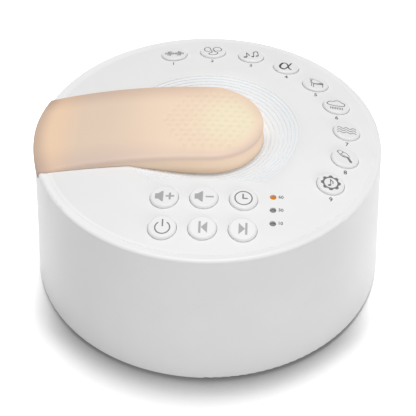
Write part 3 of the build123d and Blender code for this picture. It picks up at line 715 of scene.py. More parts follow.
@dataclass(frozen=True)
class RippledPanel(Finish):
    """The panel's plastic, with painted shade in the grooves and a painted shadow round the lamp.

    A painted bluish cast on the dish offsets the warm light that the lamp throws onto it, and a
    painted highlight lightens the panel's edge at the lamp's side. Each span goes from no tint to
    the full tint, an inset counts from the dish's edge inwards, a groove's share is one of the
    pitch, and a fade counts from the chord that cuts the dish off at the front.
    """

    dish_radius: float = 35.05 * MM
    first_pitch: float = 1.25 * MM
    growth: float = 1.04
    chord_y: float = -28.0 * MM
    # Painted shade in the dish's grooves.
    groove_shade_tint: Colour = grey(0.985)
    groove_share: Span = (0.24, 0.10)
    groove_inset: Span = (-0.6 * MM, -0.2 * MM)
    groove_fade: float = 0.3 * MM
    # Painted shadow of the lamp on the dish, round the lamp's foot.
    lamp_shadow_tint: Colour = (0.85, 0.86, 0.875)
    lamp_shadow_radius: Span = (28.2 * MM, 20.7 * MM)
    lamp_shadow_x: Span = (-20.0 * MM, -8.0 * MM)
    lamp_shadow_y: Span = (8.0 * MM, -3.0 * MM)
    # Painted bluish cast that offsets the lamp's warm light on the dish.
    bounce_offset_tint: Colour = (1.035, 1.065, 1.09)
    bounce_offset_inset: Span = (0.0, 1.8 * MM)
    bounce_offset_fade: float = 0.8 * MM
    # Painted highlight on the panel's edge at the lamp's side.
    edge_highlight_tint: Colour = grey(1.06)
    edge_highlight_radius: Span = (60.4 * MM, 61.0 * MM)
    edge_highlight_x: Span = (5.0 * MM, -40.0 * MM)

    def detail(self, hand: Tree, shader: Node, skin: Node, place: Socket) -> None:
        """Adds the painted shade in the grooves, found by their numbers from the dish's edge, the
        painted shadow round the lamp, the painted bluish cast against the lamp's warm light, and
        the painted highlight on the panel's edge.

        Args:
            hand: The material's node tree.
            shader: The material's shader.
            skin: The node that gives the skin's colour, roughness and height.
            place: The point on the piece.
        """
        x, y, _ = hand.axes(place)
        radius = hand.length(x, y)
        inwards = hand.math("SUBTRACT", self.dish_radius, radius)
        grown = hand.product(inwards, (self.growth - 1.0) / self.first_pitch)
        number = hand.math("LOGARITHM", hand.math("ADD", grown, 1.0), self.growth)
        off_groove = hand.math("PINGPONG", number, 0.5)
        # Painted shade in the dish's grooves.
        groove = hand.product(
            hand.ramp(off_groove, *self.groove_share),
            hand.ramp(inwards, *self.groove_inset),
            hand.ramp(y, self.chord_y, self.chord_y + self.groove_fade),
        )
        # Painted shadow of the lamp on the dish, round the lamp's foot.
        foot = hand.product(
            hand.ramp(radius, *self.lamp_shadow_radius),
            hand.ramp(x, *self.lamp_shadow_x),
            hand.ramp(y, *self.lamp_shadow_y),
        )
        # Painted bluish cast on the dish, which offsets the warm light that the lamp throws onto
        # it.
        bounce_offset = hand.product(
            hand.ramp(inwards, *self.bounce_offset_inset),
            hand.ramp(y, self.chord_y, self.chord_y + self.bounce_offset_fade),
        )
        # Painted highlight on the panel's edge at the lamp's side.
        edge = hand.product(hand.ramp(radius, *self.edge_highlight_radius), hand.ramp(x, *self.edge_highlight_x))
        shaded = hand.tinted(
            skin.outputs["Colour"], (groove, self.groove_shade_tint), (foot, self.lamp_shadow_tint),
            (bounce_offset, self.bounce_offset_tint), (edge, self.edge_highlight_tint),
        )
        hand.feed(shader.inputs["Base Color"], shaded)


@dataclass(frozen=True)
class Diffuser(Finish):
    """The lamp's milky shade, lit from inside."""

    tones: LampTones = LampTones()
    tint: Colour = grey(1.0)

    def detail(self, hand: Tree, shader: Node, skin: Node, place: Socket) -> None:
        """Adds the tones and the light from inside.

        Args:
            hand: The material's node tree.
            shader: The material's shader.
            skin: The node that gives the skin's colour, roughness and height.
            place: The point on the piece.
        """
        lit = hand.add("ShaderNodeGroup", {"Vector": place}, node_tree=self.tones.group())
        own = hand.multiplied(skin.outputs["Colour"], lit.outputs["Colour"])
        hand.fill(shader, {
            "Base Color": hand.multiplied(own, self.tint),
            "Emission Color": hand.multiplied(lit.outputs["Light"], self.tint),
            "Emission Strength": 1.0,
        })


@dataclass(frozen=True)
class Lens(Finish):
    """A small light pipe, which may be lit, and mirrors little as it lies deep in its hole."""

    light: Colour = grey(0.0)
    strength: float = 0.0
    dimmest: float = 0.8
    spot_scale: float = 900.0
    gloss: float = 0.12

    def detail(self, hand: Tree, shader: Node, skin: Node, place: Socket) -> None:
        """Adds the light of the chip behind the pipe, a little uneven.

        Args:
            hand: The material's node tree.
            shader: The material's shader.
            skin: The node that gives the skin's colour, roughness and height.
            place: The point on the piece.
        """
        dim = tuple(level * self.dimmest for level in self.light)
        uneven = hand.blend(hand.noise(place, self.spot_scale), self.light, dim)
        values = {"Emission Strength": self.strength, "Specular IOR Level": self.gloss}
        hand.fill(shader, {"Emission Color": uneven, **values})


@dataclass(frozen=True)
class CircuitBoard(Finish):
    """A green board with fine copper tracks under its solder mask."""

    track: Colour = (0.10, 0.30, 0.12)
    track_scale: float = 350.0
    track_width: float = 0.04

    def detail(self, hand: Tree, shader: Node, skin: Node, place: Socket) -> None:
        """Adds tracks that run in patches along both board directions.

        Args:
            hand: The material's node tree.
            shader: The material's shader.
            skin: The node that gives the skin's colour, roughness and height.
            place: The point on the piece.
        """
        mask = skin.outputs["Colour"]
        brick = hand.add("ShaderNodeTexBrick", {
            "Vector": place, "Color1": mask, "Color2": mask, "Mortar": self.track,
            "Scale": self.track_scale, "Mortar Size": self.track_width,
        })
        hand.feed(shader.inputs["Base Color"], brick.outputs["Color"])


@dataclass(frozen=True)
class Woven(Finish):
    """A cloth or wound surface with fine threads, which lie across one or two axes."""

    thread_scale: float = 1500.0
    thread_depth: float = 0.05 * MM
    threads: str = "XY"

    def detail(self, hand: Tree, shader: Node, skin: Node, place: Socket) -> None:
        """Adds the threads as relief.

        Args:
            hand: The material's node tree.
            shader: The material's shader.
            skin: The node that gives the skin's colour, roughness and height.
            place: The point on the piece.
        """
        values = {"Vector": place, "Scale": self.thread_scale}
        waves = [
            hand.add("ShaderNodeTexWave", values, bands_direction=axis).outputs["Fac"]
            for axis in self.threads
        ]
        self.relief(hand, shader, hand.largest(*waves), self.thread_depth)


class Palette:
    """The finishes of the new pieces by name, and those of the frame's parts by material slot."""

    black_ink = Finish("black_ink", grey(0.015), grey(0.022), roughness=0.5, grain_scale=9000)
    dark_ink = Finish("dark_ink", grey(0.05), grey(0.065), roughness=0.5, grain_scale=9000)
    mid_ink = Finish("mid_ink", grey(0.13), grey(0.155), roughness=0.5, grain_scale=9000)
    pale_ink = Finish("pale_ink", grey(0.34), grey(0.37), grain_scale=9000)
    panel = RippledPanel(
        "panel_finish", grey(0.82), grey(0.805), roughness=0.62, grain_scale=4200, grain_depth=6e-6
    )
    steel = Finish(
        "steel_finish", (0.58, 0.58, 0.6), (0.5, 0.5, 0.52), roughness=0.3, metallic=1.0
    )
    lit_lens = Lens(
        "lit_lens_finish", (0.35, 0.10, 0.001), (0.3, 0.08, 0.001), roughness=0.4,
        light=(0.62, 0.22, 0.0), strength=0.75,
    )
    dark_lens = Lens("dark_lens_finish", grey(0.29), grey(0.25), roughness=0.4)

    by_slot = {
        "shell_plastic": RimHighlightShell(
            "shell_finish", grey(0.83), grey(0.815), roughness=0.42, grain_scale=4200,
            grain_depth=6e-6,
        ),
        "panel_plastic": panel,
        "key_plastic": Finish(
            "key_finish", grey(0.79), grey(0.78), grain_scale=5000, grain_depth=3e-6
        ),
        "white_sheet": Finish(
            "white_sheet_finish", grey(0.85), grey(0.8), roughness=0.25, coat=0.3
        ),
        "circuit_board": CircuitBoard(
            "board_finish", (0.012, 0.09, 0.03), (0.015, 0.11, 0.035), roughness=0.35, coat=0.4
        ),
        "light_chip": Finish(
            "light_chip_finish", (0.85, 0.62, 0.12), (0.8, 0.55, 0.1), roughness=0.35
        ),
        "board_parts": Finish("chip_finish", grey(0.02), grey(0.03), roughness=0.5),
        "silicone": Finish(
            "silicone_finish", grey(0.6), grey(0.55), roughness=0.55, subsurface=0.1
        ),
        "feet_rubber": Finish(
            "rubber_finish", grey(0.10), grey(0.13), roughness=0.75, grain_scale=2500,
            grain_depth=3e-5,
        ),
        "screw_steel": steel,
        "socket_steel": steel,
        "speaker_steel": Finish("black_steel_finish", grey(0.02), grey(0.03), coat=0.2),
        "magnet_iron": Finish(
            "ferrite_finish", grey(0.06), grey(0.09), roughness=0.65, grain_scale=1500,
            grain_depth=3e-5,
        ),
        "cone_paper": Woven(
            "paper_finish", grey(0.025), grey(0.04), roughness=0.85, thread_scale=900
        ),
        "spider_cloth": Woven(
            "spider_finish", (0.42, 0.22, 0.06), (0.36, 0.18, 0.05), roughness=0.8,
            thread_scale=1300,
        ),
        "coil_copper": Woven(
            "copper_finish", (0.75, 0.33, 0.17), (0.65, 0.27, 0.13), roughness=0.3, metallic=1.0,
            thread_scale=2500, threads="Z",
        ),
        "foam": Finish(
            "foam_finish", grey(0.03), grey(0.05), roughness=0.95, grain_scale=1800,
            grain_depth=8e-5,
        ),
        "lead_insulation": Finish(
            "lead_finish", (0.35, 0.03, 0.02), (0.28, 0.025, 0.02), roughness=0.5
        ),
        "indicator_lens": dark_lens,
    }


# The object's own pieces


@dataclass(frozen=True)
class Dome:
    """The shallow dome of the top panel.

    Attributes:
        rim_z: The rim's height.
        radius: The panel's radius.
        crown: How far the dome rises over its own edge.
        edge_rise: How far the dome's edge stands over the rim.
    """

    rim_z: float
    radius: float = 61.9 * MM
    crown: float = 6.25 * MM
    edge_rise: float = 0.12 * MM

    def height(self, x: float, y: float, lift: float = 0.0) -> float:
        """The height of the dome, or of a surface parallel to it.

        Args:
            x: The place along X.
            y: The place along Y.
            lift: The parallel surface's distance.

        Returns:
            The height over the floor.
        """
        ball = (self.radius**2 + self.crown**2) / (2 * self.crown)
        centre = self.rim_z + self.edge_rise + self.crown - ball
        return centre + math.sqrt((ball + lift) ** 2 - x**2 - y**2)


class Pen:
    """Draws one printed sign in thin ink, in millimetres about the sign's centre."""

    THICKNESS = 0.03 * MM
    ARC_STEP = 12.0
    DIGIT_SHARE = 0.72
    SMOOTHING = 30.0

    def __init__(self) -> None:
        """Starts with a blank sign."""
        self.parts: list[Object] = []

    def flatten(self, half_height: float) -> None:
        """Presses the active object down to the ink's thickness.

        Args:
            half_height: The object's present half height.
        """
        obj = bpy.context.object
        obj.scale.z = self.THICKNESS / half_height
        settle(obj)
        self.parts.append(obj)

    def stroke(
        self, points: Iterable[Point], width: float, closed: bool = False, curved: bool = True
    ) -> None:
        """Draws a line of constant width.

        Args:
            points: The line's points.
            width: The line's width.
            closed: Whether the line returns to its start.
            curved: Whether the line rounds its points.
        """
        points = list(points)
        curve = added(bpy.ops.curve.primitive_nurbs_path_add).data
        curve.splines.clear()
        spline = curve.splines.new("NURBS" if curved else "POLY")
        spline.points.add(len(points) - 1)
        for knot, (x, y) in zip(spline.points, points):
            knot.co = (x * MM, y * MM, 0.0, 1.0)
        spline.use_cyclic_u = closed
        if curved:
            spline.order_u = 3
            spline.use_endpoint_u = not closed
            spline.resolution_u = 6
        curve.bevel_depth = width / 2 * MM
        curve.bevel_resolution = 1
        curve.use_fill_caps = True
        bpy.ops.object.convert(target="MESH")
        self.flatten(width / 2 * MM)
        if not closed:
            for x, y in (points[0], points[-1]):
                self.spot(x, y, width / 2)

    def line(self, start: Point, end: Point, width: float) -> None:
        """Draws a straight line with round ends."""
        self.stroke([start, end], width, curved=False)

    def arc(
        self, radius: float, start: float, end: float, width: float, centre: Point = (0.0, 0.0)
    ) -> None:
        """Draws part of a circle, or all of it.

        Args:
            radius: The circle's radius.
            start: The first angle in degrees.
            end: The last angle in degrees.
            width: The line's width.
            centre: The circle's centre.
        """
        turn = end - start
        closed = turn >= 360.0
        steps = int(turn / self.ARC_STEP)
        points = []
        for index in range(steps if closed else steps + 1):
            angle = math.radians(start + turn * index / steps)
            x, y = radius * math.cos(angle), radius * math.sin(angle)
            points.append((centre[0] + x, centre[1] + y))
        self.stroke(points, width, closed=closed, curved=False)

    def spot(
        self, x: float, y: float, radius: float, squash: float = 1.0, turn: float = 0.0
    ) -> None:
        """Draws a round or oval spot.

        Args:
            x: Its centre along X.
            y: Its centre along Y.
            radius: Its larger radius.
            squash: Its smaller radius over its larger one.
            turn: The larger radius's angle in degrees.
        """
        ball = added(
            bpy.ops.mesh.primitive_uv_sphere_add, segments=16, ring_count=6, radius=radius * MM,
            location=(x * MM, y * MM, 0.0), rotation=(0.0, 0.0, math.radians(turn)),
        )
        ball.scale.y = squash
        self.flatten(radius * MM)

    def plate(self, outline: Sequence[Point]) -> None:
        """Draws a filled outline.

        Args:
            outline: The corners, in order.
        """
        obj = added(
            bpy.ops.mesh.primitive_circle_add, vertices=len(outline), fill_type="NGON",
            location=(0, 0, -self.THICKNESS),
        )
        for vertex, (x, y) in zip(obj.data.vertices, outline):
            vertex.co = (x * MM, y * MM, 0.0)
        upwards = {"value": (0, 0, 2 * self.THICKNESS)}
        edit_all(obj, bpy.ops.mesh.extrude_region_move, TRANSFORM_OT_translate=upwards)
        settle(obj)
        edit_all(obj, bpy.ops.mesh.normals_make_consistent, inside=False)
        self.parts.append(obj)

    def bar(self, start: Point, end: Point, width: float) -> None:
        """Draws a straight bar with square ends.

        Args:
            start: The middle of one end.
            end: The middle of the other end.
            width: The bar's width.
        """
        along = Vector((end[0] - start[0], end[1] - start[1])).normalized() * (width / 2)
        side = (-along.y, along.x)
        self.plate([
            (start[0] + side[0], start[1] + side[1]),
            (start[0] - side[0], start[1] - side[1]),
            (end[0] - side[0], end[1] - side[1]),
            (end[0] + side[0], end[1] + side[1]),
        ])

    def figure(self, text: str, height: float, x: float, y: float, weight: float = 0.0) -> None:
        """Prints a plain number, centred on a place.

        Args:
            text: The number's digits.
            height: The digits' height.
            x: The middle along X.
            y: The middle along Y.
            weight: How much bolder than usual the strokes are.
        """
        letters = added(bpy.ops.object.text_add, location=(0, 0, 0)).data
        letters.body = text
        letters.align_x = "CENTER"
        letters.align_y = "CENTER"
        letters.size = height * MM / self.DIGIT_SHARE
        letters.extrude = self.THICKNESS
        letters.offset = weight * MM
        letters.resolution_u = 4
        bpy.ops.object.convert(target="MESH")
        obj = bpy.context.object
        xs = [vertex.co.x for vertex in obj.data.vertices]
        ys = [vertex.co.y for vertex in obj.data.vertices]
        off_x, off_y = (min(xs) + max(xs)) / 2, (min(ys) + max(ys)) / 2
        obj.location = (x * MM - off_x, y * MM - off_y, 0.0)
        settle(obj)
        self.parts.append(obj)

    def lay(
        self, name: str, dome: Dome, finish: Finish, body: str,
        centre: Point = (0.0, 0.0), lift: float = 0.0,
    ) -> None:
        """Lays the finished sign on the dome or on a key's top.

        Args:
            name: The piece's name.
            dome: The panel's dome.
            finish: The ink.
            body: The moving body that carries the sign.
            centre: The sign's centre in metres.
            lift: The height of the carrying face over the dome, in metres.
        """
        sign = joined(name, self.parts)
        for vertex in sign.data.vertices:
            x = vertex.co.x + centre[0]
            y = vertex.co.y + centre[1]
            vertex.co = (x, y, dome.height(x, y, lift) + vertex.co.z)
        dress(sign, finish.material())
        smooth(sign, self.SMOOTHING)
        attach(sign, body)
        self.parts = []
        LOG.info("printed %s with %d faces", name, len(sign.data.polygons))


def draw_noise(pen: Pen) -> None:
    """A row of bars whose lengths swell twice.

    Args:
        pen: The pen that draws the sign.
    """
    pitch, middle, width = 0.5, -0.45, 0.3
    peak, spread, shortest, swing, even_share = 1.85, 0.95, 1.0, 3.2, 0.72
    for step in range(-7, 8):
        x = step * pitch
        swell = math.exp(-(((abs(x) - peak) / spread) ** 2))
        length = (shortest + swing * swell) * (1.0 if step % 2 else even_share)
        pen.line((x, middle - length / 2), (x, middle + length / 2), width)


def draw_fan(pen: Pen) -> None:
    """Three open blades that sweep round a hub.

    Args:
        pen: The pen that draws the sign.
    """
    left = [(-0.3, -1.3), (-0.85, 0.4), (-1.2, 1.9), (-1.9, 2.7), (-2.9, 2.4), (-3.5, 1.2),
            (-3.35, -0.1), (-2.6, -0.95), (-1.3, -1.0)]
    right = [(1.0, -0.6), (0.2, 0.2), (0.0, 1.3), (0.5, 2.4), (1.6, 2.85), (2.8, 2.35), (3.5, 1.2),
             (3.35, -0.1), (2.5, -0.6), (1.6, -0.2)]
    lower = [(0.2, -0.4), (1.3, -1.1), (2.1, -2.0), (1.8, -2.95), (0.9, -3.6), (-0.3, -3.85),
             (-1.3, -3.4), (-1.6, -2.7), (-1.0, -2.1), (-0.2, -1.5)]
    for blade in (left, right, lower):
        pen.stroke(blade, 0.4)


def draw_melody(pen: Pen) -> None:
    """A single note beside a beamed pair.

    Args:
        pen: The pen that draws the sign.
    """
    pen.spot(-2.2, -2.2, 0.82, squash=0.72, turn=20.0)
    pen.line((-1.6, -1.9), (-1.85, 1.4), 0.4)
    pen.stroke([(-1.85, 1.3), (-1.4, 0.6), (-0.8, 0.0), (-0.75, -0.9)], 0.42)
    for x, y in ((0.65, -1.55), (2.35, -0.85)):
        pen.spot(x, y, 0.62, squash=0.78, turn=25.0)
    pen.line((1.1, -1.4), (0.85, 1.7), 0.34)
    pen.stroke([(2.8, -0.7), (2.85, 1.2), (2.45, 2.4)], 0.34)
    pen.stroke([(0.85, 1.6), (1.3, 2.6), (2.1, 3.0), (2.5, 2.3)], 0.5)


def draw_loop(pen: Pen) -> None:
    """A ribbon that crosses itself once, for slow waves.

    Args:
        pen: The pen that draws the sign.
    """
    ribbon = [(2.05, 2.2), (1.5, 1.0), (0.8, -0.6), (0.0, -2.05), (-1.0, -2.8), (-2.1, -2.2),
              (-2.5, -1.0), (-2.15, 0.5), (-1.35, 1.75), (-0.45, 2.2), (0.3, 1.6), (0.7, 0.3),
              (0.9, -1.0), (1.25, -2.3), (1.85, -2.7)]
    pen.stroke(ribbon, 0.62)
    pen.stroke([(-0.9, -2.75), (-2.15, -2.25), (-2.5, -1.0), (-2.2, 0.5), (-1.35, 1.8)], 0.86)


def draw_piano(pen: Pen) -> None:
    """A grand piano from the side with its lid up.

    Args:
        pen: The pen that draws the sign.
    """
    pen.stroke([(-2.1, 2.4), (-1.55, 0.2), (-1.5, -1.2)], 0.24, curved=False)
    pen.line((-1.2, 2.6), (-1.5, 0.9), 0.3)
    pen.stroke([(-2.1, 2.4), (-1.2, 2.6), (1.0, 1.6), (2.7, 0.4)], 0.2, curved=False)
    pen.plate([(-1.1, -0.5), (0.6, -0.45), (2.0, 0.15), (3.0, 0.15), (3.15, -1.1), (0.6, -1.15),
               (-0.9, -1.1)])
    pen.line((-2.0, 0.2), (-1.0, -0.1), 0.42)
    for x, foot in ((-1.5, -2.6), (-0.75, -3.3), (2.8, -2.7)):
        pen.line((x, -0.8), (x, foot), 0.3)


def draw_rain(pen: Pen) -> None:
    """A cloud over a row of drops.

    Args:
        pen: The pen that draws the sign.
    """
    cloud = [(0.0, -0.8), (-1.8, -0.7), (-3.1, -0.4), (-3.65, 0.4), (-2.95, 1.5), (-1.95, 1.95),
             (-1.05, 1.75), (-0.35, 2.55), (0.65, 2.75), (1.65, 2.25), (2.1, 1.55), (3.0, 1.35),
             (3.4, 0.4), (3.0, -0.45), (1.8, -0.75)]
    pen.stroke(cloud, 0.4, closed=True)
    for step in range(8):
        x = -2.25 + 0.65 * step
        pen.line((x, -1.75), (x + 0.05, -2.85), 0.34)


def draw_waves(pen: Pen) -> None:
    """Three rows of ripples.

    Args:
        pen: The pen that draws the sign.
    """
    steps, half_width, height, wave_length, first_zero = 24, 3.5, 0.4, 2.65, -3.36
    for row in (1.05, -0.25, -1.55):
        points = []
        for step in range(steps + 1):
            x = half_width * (2 * step / steps - 1)
            turn = math.tau * (x - first_zero) / wave_length
            points.append((x, row + height * math.sin(turn)))
        pen.stroke(points, 0.34)


def draw_bird(pen: Pen) -> None:
    """A small bird that looks up to the left, in outline with a dark tail.

    Args:
        pen: The pen that draws the sign.
    """
    pen.plate([(-3.0, 2.5), (-2.6, 3.2), (-2.3, 2.0)])
    pen.stroke([(-2.6, 3.1), (-1.9, 3.35), (-0.9, 2.75), (0.5, 2.0), (1.4, 0.9), (1.75, 0.1)], 0.26)
    pen.stroke([(-2.8, 2.5), (-2.2, 1.4), (-1.5, 0.5), (-0.5, -0.25), (0.7, -0.35)], 0.3)
    pen.stroke([(-1.5, 1.3), (-0.9, 1.9), (-0.6, 2.4)], 0.32)
    pen.stroke([(-1.6, 1.1), (-0.6, 0.9), (0.3, 0.2), (1.1, 0.0)], 0.24)
    pen.line((-0.9, 0.4), (0.1, -0.1), 0.3)
    pen.plate([(0.5, 0.0), (1.3, 0.1), (2.6, -2.3), (2.4, -2.9), (1.7, -2.7)])


def draw_gear(pen: Pen) -> None:
    """A gear with a note inside.

    Args:
        pen: The pen that draws the sign.
    """
    middle, teeth = Vector((0.05, -0.1)), 8
    tooth = [(2.6, 0.85), (2.6, -0.85), (3.35, -0.65), (3.6, -0.35), (3.6, 0.35), (3.35, 0.65)]
    pen.arc(2.7, 0.0, 360.0, 0.62, centre=middle)
    for index in range(teeth):
        angle = math.tau * index / teeth
        reach = Vector((math.cos(angle), math.sin(angle)))
        side = Vector((-reach.y, reach.x))
        pen.plate([(middle + reach * out + side * off).to_tuple() for out, off in tooth])
    pen.spot(-0.45, -1.3, 0.62, squash=0.78, turn=20.0)
    pen.line((0.05, -1.1), (-0.1, 1.6), 0.34)
    pen.stroke([(-0.1, 1.5), (0.5, 0.95), (0.95, 0.5), (0.8, -0.3)], 0.4)


def draw_horn(pen: Pen) -> None:
    """A loudspeaker at the left of the key."""
    pen.plate([(-3.25, 0.9), (-2.1, 1.0), (-0.75, 2.05), (-0.4, 2.1), (-0.3, 1.9), (-0.3, -2.55),
               (-0.4, -2.75), (-0.75, -2.7), (-2.1, -1.5), (-3.25, -1.4)])


def draw_louder(pen: Pen) -> None:
    """A loudspeaker with a plus.

    Args:
        pen: The pen that draws the sign.
    """
    draw_horn(pen)
    pen.line((0.85, -0.28), (3.3, -0.28), 0.78)
    pen.line((2.05, 0.95), (2.05, -1.6), 0.78)


def draw_quieter(pen: Pen) -> None:
    """A loudspeaker with a minus."""
    draw_horn(pen)
    pen.line((0.95, -0.35), (3.25, -0.35), 0.72)


def draw_clock(pen: Pen) -> None:
    """A clock face with two hands.

    Args:
        pen: The pen that draws the sign.
    """
    pen.arc(3.05, 0.0, 360.0, 0.46, centre=(0.0, -0.25))
    pen.bar((-0.18, 1.7), (-0.18, -0.65), 0.55)
    pen.bar((-0.4, -0.4), (1.5, -0.4), 0.5)


def draw_power(pen: Pen) -> None:
    """An open ring with a bar."""
    pen.arc(2.62, 129.0, 411.0, 0.46, centre=(0.15, -0.6))
    pen.line((0.15, 2.75), (0.15, 0.05), 0.5)


def draw_previous(pen: Pen) -> None:
    """A bar and a triangle that points to the left."""
    pen.bar((-0.95, -2.85), (-0.95, 2.2), 0.8)
    pen.plate([(1.75, 2.1), (-0.5, -0.3), (1.75, -2.7)])


def draw_next(pen: Pen) -> None:
    """A triangle that points to the right and a bar."""
    pen.bar((1.3, -2.75), (1.3, 2.3), 0.8)
    pen.plate([(-1.4, 2.15), (-1.4, -2.7), (0.85, -0.28)])


@dataclass(frozen=True)
class KeySign:
    """The sign on one key.

    Attributes:
        key: The key's part name.
        draw: The function that draws the sign.
        ink: The ink's finish.
        number: The plain number printed below the key, or nothing.
    """

    key: str
    draw: Callable[[Pen], None]
    ink: Finish
    number: str = ""


@dataclass
class Keys:
    """The fifteen keys' signs and the numbers printed beside them.

    The rise of the keys' tops over the dome is in metres, and the rest in the pen's millimetres.
    """

    dome: Dome
    rise: float = 1.0 * MM
    number_drop: float = 7.15
    number_height: float = 1.95
    number_weight: float = 0.02
    timer_x: float = 27.45
    timer_height: float = 1.35
    timer_weight: float = 0.03
    timer_steps: tuple[tuple[str, float], ...] = (("60", -34.55), ("30", -40.55), ("10", -46.5))
    signs: tuple[KeySign, ...] = (
        KeySign("white_noise_key", draw_noise, Palette.dark_ink, "1"),
        KeySign("fan_key", draw_fan, Palette.mid_ink, "2"),
        KeySign("melody_key", draw_melody, Palette.dark_ink, "3"),
        KeySign("alpha_key", draw_loop, Palette.black_ink, "4"),
        KeySign("piano_key", draw_piano, Palette.mid_ink, "5"),
        KeySign("rain_key", draw_rain, Palette.mid_ink, "6"),
        KeySign("waves_key", draw_waves, Palette.mid_ink, "7"),
        KeySign("birds_key", draw_bird, Palette.mid_ink, "8"),
        KeySign("custom_key", draw_gear, Palette.mid_ink, "9"),
        KeySign("volume_up_key", draw_louder, Palette.pale_ink),
        KeySign("volume_down_key", draw_quieter, Palette.pale_ink),
        KeySign("timer_key", draw_clock, Palette.mid_ink),
        KeySign("power_key", draw_power, Palette.mid_ink),
        KeySign("previous_key", draw_previous, Palette.pale_ink),
        KeySign("next_key", draw_next, Palette.pale_ink),
    )

    @staticmethod
    def centre(key: str) -> Point:
        """The middle of a key in plan."""
        low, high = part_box(key)
        return ((low.x + high.x) / 2, (low.y + high.y) / 2)

    def print_signs(self) -> None:
        """Prints each key's sign on its top."""
        for sign in self.signs:
            pen = Pen()
            sign.draw(pen)
            centre = self.centre(sign.key)
            pen.lay(sign.key + "_sign", self.dome, sign.ink, sign.key, centre, self.rise)

    def print_numbers(self) -> None:
        """Prints the plain numbers of the sound keys and of the timer lights on the panel."""
        pen = Pen()
        for sign in self.signs:
            if sign.number:
                x, y = (place / MM for place in self.centre(sign.key))
                place = (x, y - self.number_drop)
                pen.figure(sign.number, self.number_height, *place, self.number_weight)
        pen.lay("sound_numbers", self.dome, Palette.black_ink, "body")
        for text, y in self.timer_steps:
            pen.figure(text, self.timer_height, self.timer_x, y, self.timer_weight)
        pen.lay("timer_numbers", self.dome, Palette.dark_ink, "body")


@dataclass
class TimerLights:
    """Three small light pipes beside the control keys, of which the first is lit."""

    x: float = 24.6 * MM
    rows: tuple[tuple[str, float], ...] = (
        ("long_timer_lens", -34.9 * MM),
        ("middle_timer_lens", -40.9 * MM),
        ("short_timer_lens", -46.9 * MM),
    )
    radius: float = 1.08 * MM
    sink: float = 0.7 * MM
    rounding: float = 0.35 * MM

    def build(self, dome: Dome) -> None:
        """Models the light pipes with softly rounded ends.

        Args:
            dome: The panel's dome.
        """
        low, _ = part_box("indicator_lenses")
        finish = Palette.lit_lens
        for name, y in self.rows:
            top = dome.height(self.x, y) - self.sink
            added(
                bpy.ops.mesh.primitive_cylinder_add, vertices=32, radius=self.radius,
                depth=top - low.z, location=(self.x, y, (top + low.z) / 2),
            )
            lens = named(name)
            settle(lens)
            bevelled(lens, self.rounding)
            smooth(lens, BEVEL_ANGLE)
            dress(lens, finish.material())
            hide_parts("indicator_lenses")
            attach(lens, "body")
            finish = Palette.dark_lens
            LOG.info("made %s", name)


@dataclass
class NightLight:
    """The tongue-shaped lamp with its six-sided field of shallow dimples.

    A flattened ball cuts each dimple, and the faces in it take a slightly darker, greener tint.
    """

    half_width: float = 20.7 * MM
    side: int = 6
    pitch: float = 3.27 * MM
    dimple_radius: float = 1.4 * MM
    dimple_depth: float = 0.11 * MM
    dimple_height: float = 0.4 * MM
    centre: Point = (0.1 * MM, 0.0)
    dimple_tint: Colour = (0.95, 0.97, 0.92)
    tint_reach: float = 1.04
    above: float = 200.0 * MM

    def dimple_places(self) -> list[Point]:
        """The centres of a six-sided field of dimples.

        Returns:
            The places along X and Y.
        """
        places = []
        for row in range(1 - self.side, self.side):
            count = 2 * self.side - 1 - abs(row)
            for index in range(count):
                x = self.centre[0] + (index - (count - 1) / 2) * self.pitch
                places.append((x, self.centre[1] + row * self.pitch * math.sqrt(3) / 2))
        return places

    def dimple_cutter(self, shade: Object) -> Object:
        """Sets one flattened ball in the shade's top for each dimple.

        Args:
            shade: The shade's mesh.

        Returns:
            All the balls as one mesh.
        """
        ball = added(
            bpy.ops.mesh.primitive_uv_sphere_add, segments=20, ring_count=10,
            radius=self.dimple_radius,
        )
        ball.scale.z = self.dimple_height / self.dimple_radius
        settle(ball)
        lift = Vector((0, 0, self.dimple_height - self.dimple_depth))
        copies = []
        for x, y in self.dimple_places():
            hit, spot, _, _ = shade.ray_cast((x, y, self.above), (0, 0, -1))
            if hit:
                copy = duplicate(ball)
                copy.data.transform(Matrix.Translation(spot + lift))
                copies.append(copy)
        bpy.data.objects.remove(ball, do_unlink=True)
        return joined("dimple_cutter", copies)

    def tint_dimples(self, shade: Object) -> None:
        """Gives the faces inside the dimples the second finish.

        Args:
            shade: The dimpled shade.
        """
        places = [Vector(place) for place in self.dimple_places()]
        level = 1.0 - self.dimple_depth / self.dimple_height
        mouth = self.dimple_radius * math.sqrt(1.0 - level**2)
        corners = [vertex.co.to_2d() for vertex in shade.data.vertices]
        half_way_up = max(vertex.co.z for vertex in shade.data.vertices) / 2
        for polygon in shade.data.polygons:
            middle = polygon.center.to_2d()
            nearest = min(places, key=lambda place: (place - middle).length)
            reach = max((corners[index] - nearest).length for index in polygon.vertices)
            if reach < self.tint_reach * mouth and polygon.center.z > half_way_up:
                polygon.material_index = 1

    def build(self, part: Object) -> None:
        """Models the dimpled shade in the place of the plain one.

        Args:
            part: The plain shade of the frame.
        """
        shade = copy_of_part(part, "lamp_diffuser")
        cut_by(shade, self.dimple_cutter(shade))
        smooth(shade, PART_SMOOTHING)
        tones = LampTones(self.half_width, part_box("lamp_shade")[1].z)
        finish = Diffuser(
            "diffuser_finish", grey(1.0), grey(0.985), roughness=0.6, grain_scale=4200, tones=tones
        )
        dimple_finish = replace(finish, name="dimple_finish", tint=self.dimple_tint)
        dress(shade, finish.material())
        shade.data.materials.append(dimple_finish.material())
        self.tint_dimples(shade)
        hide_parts("lamp_shade")
        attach(shade, "body")
        LOG.info("made the night light with %d faces", len(shade.data.polygons))


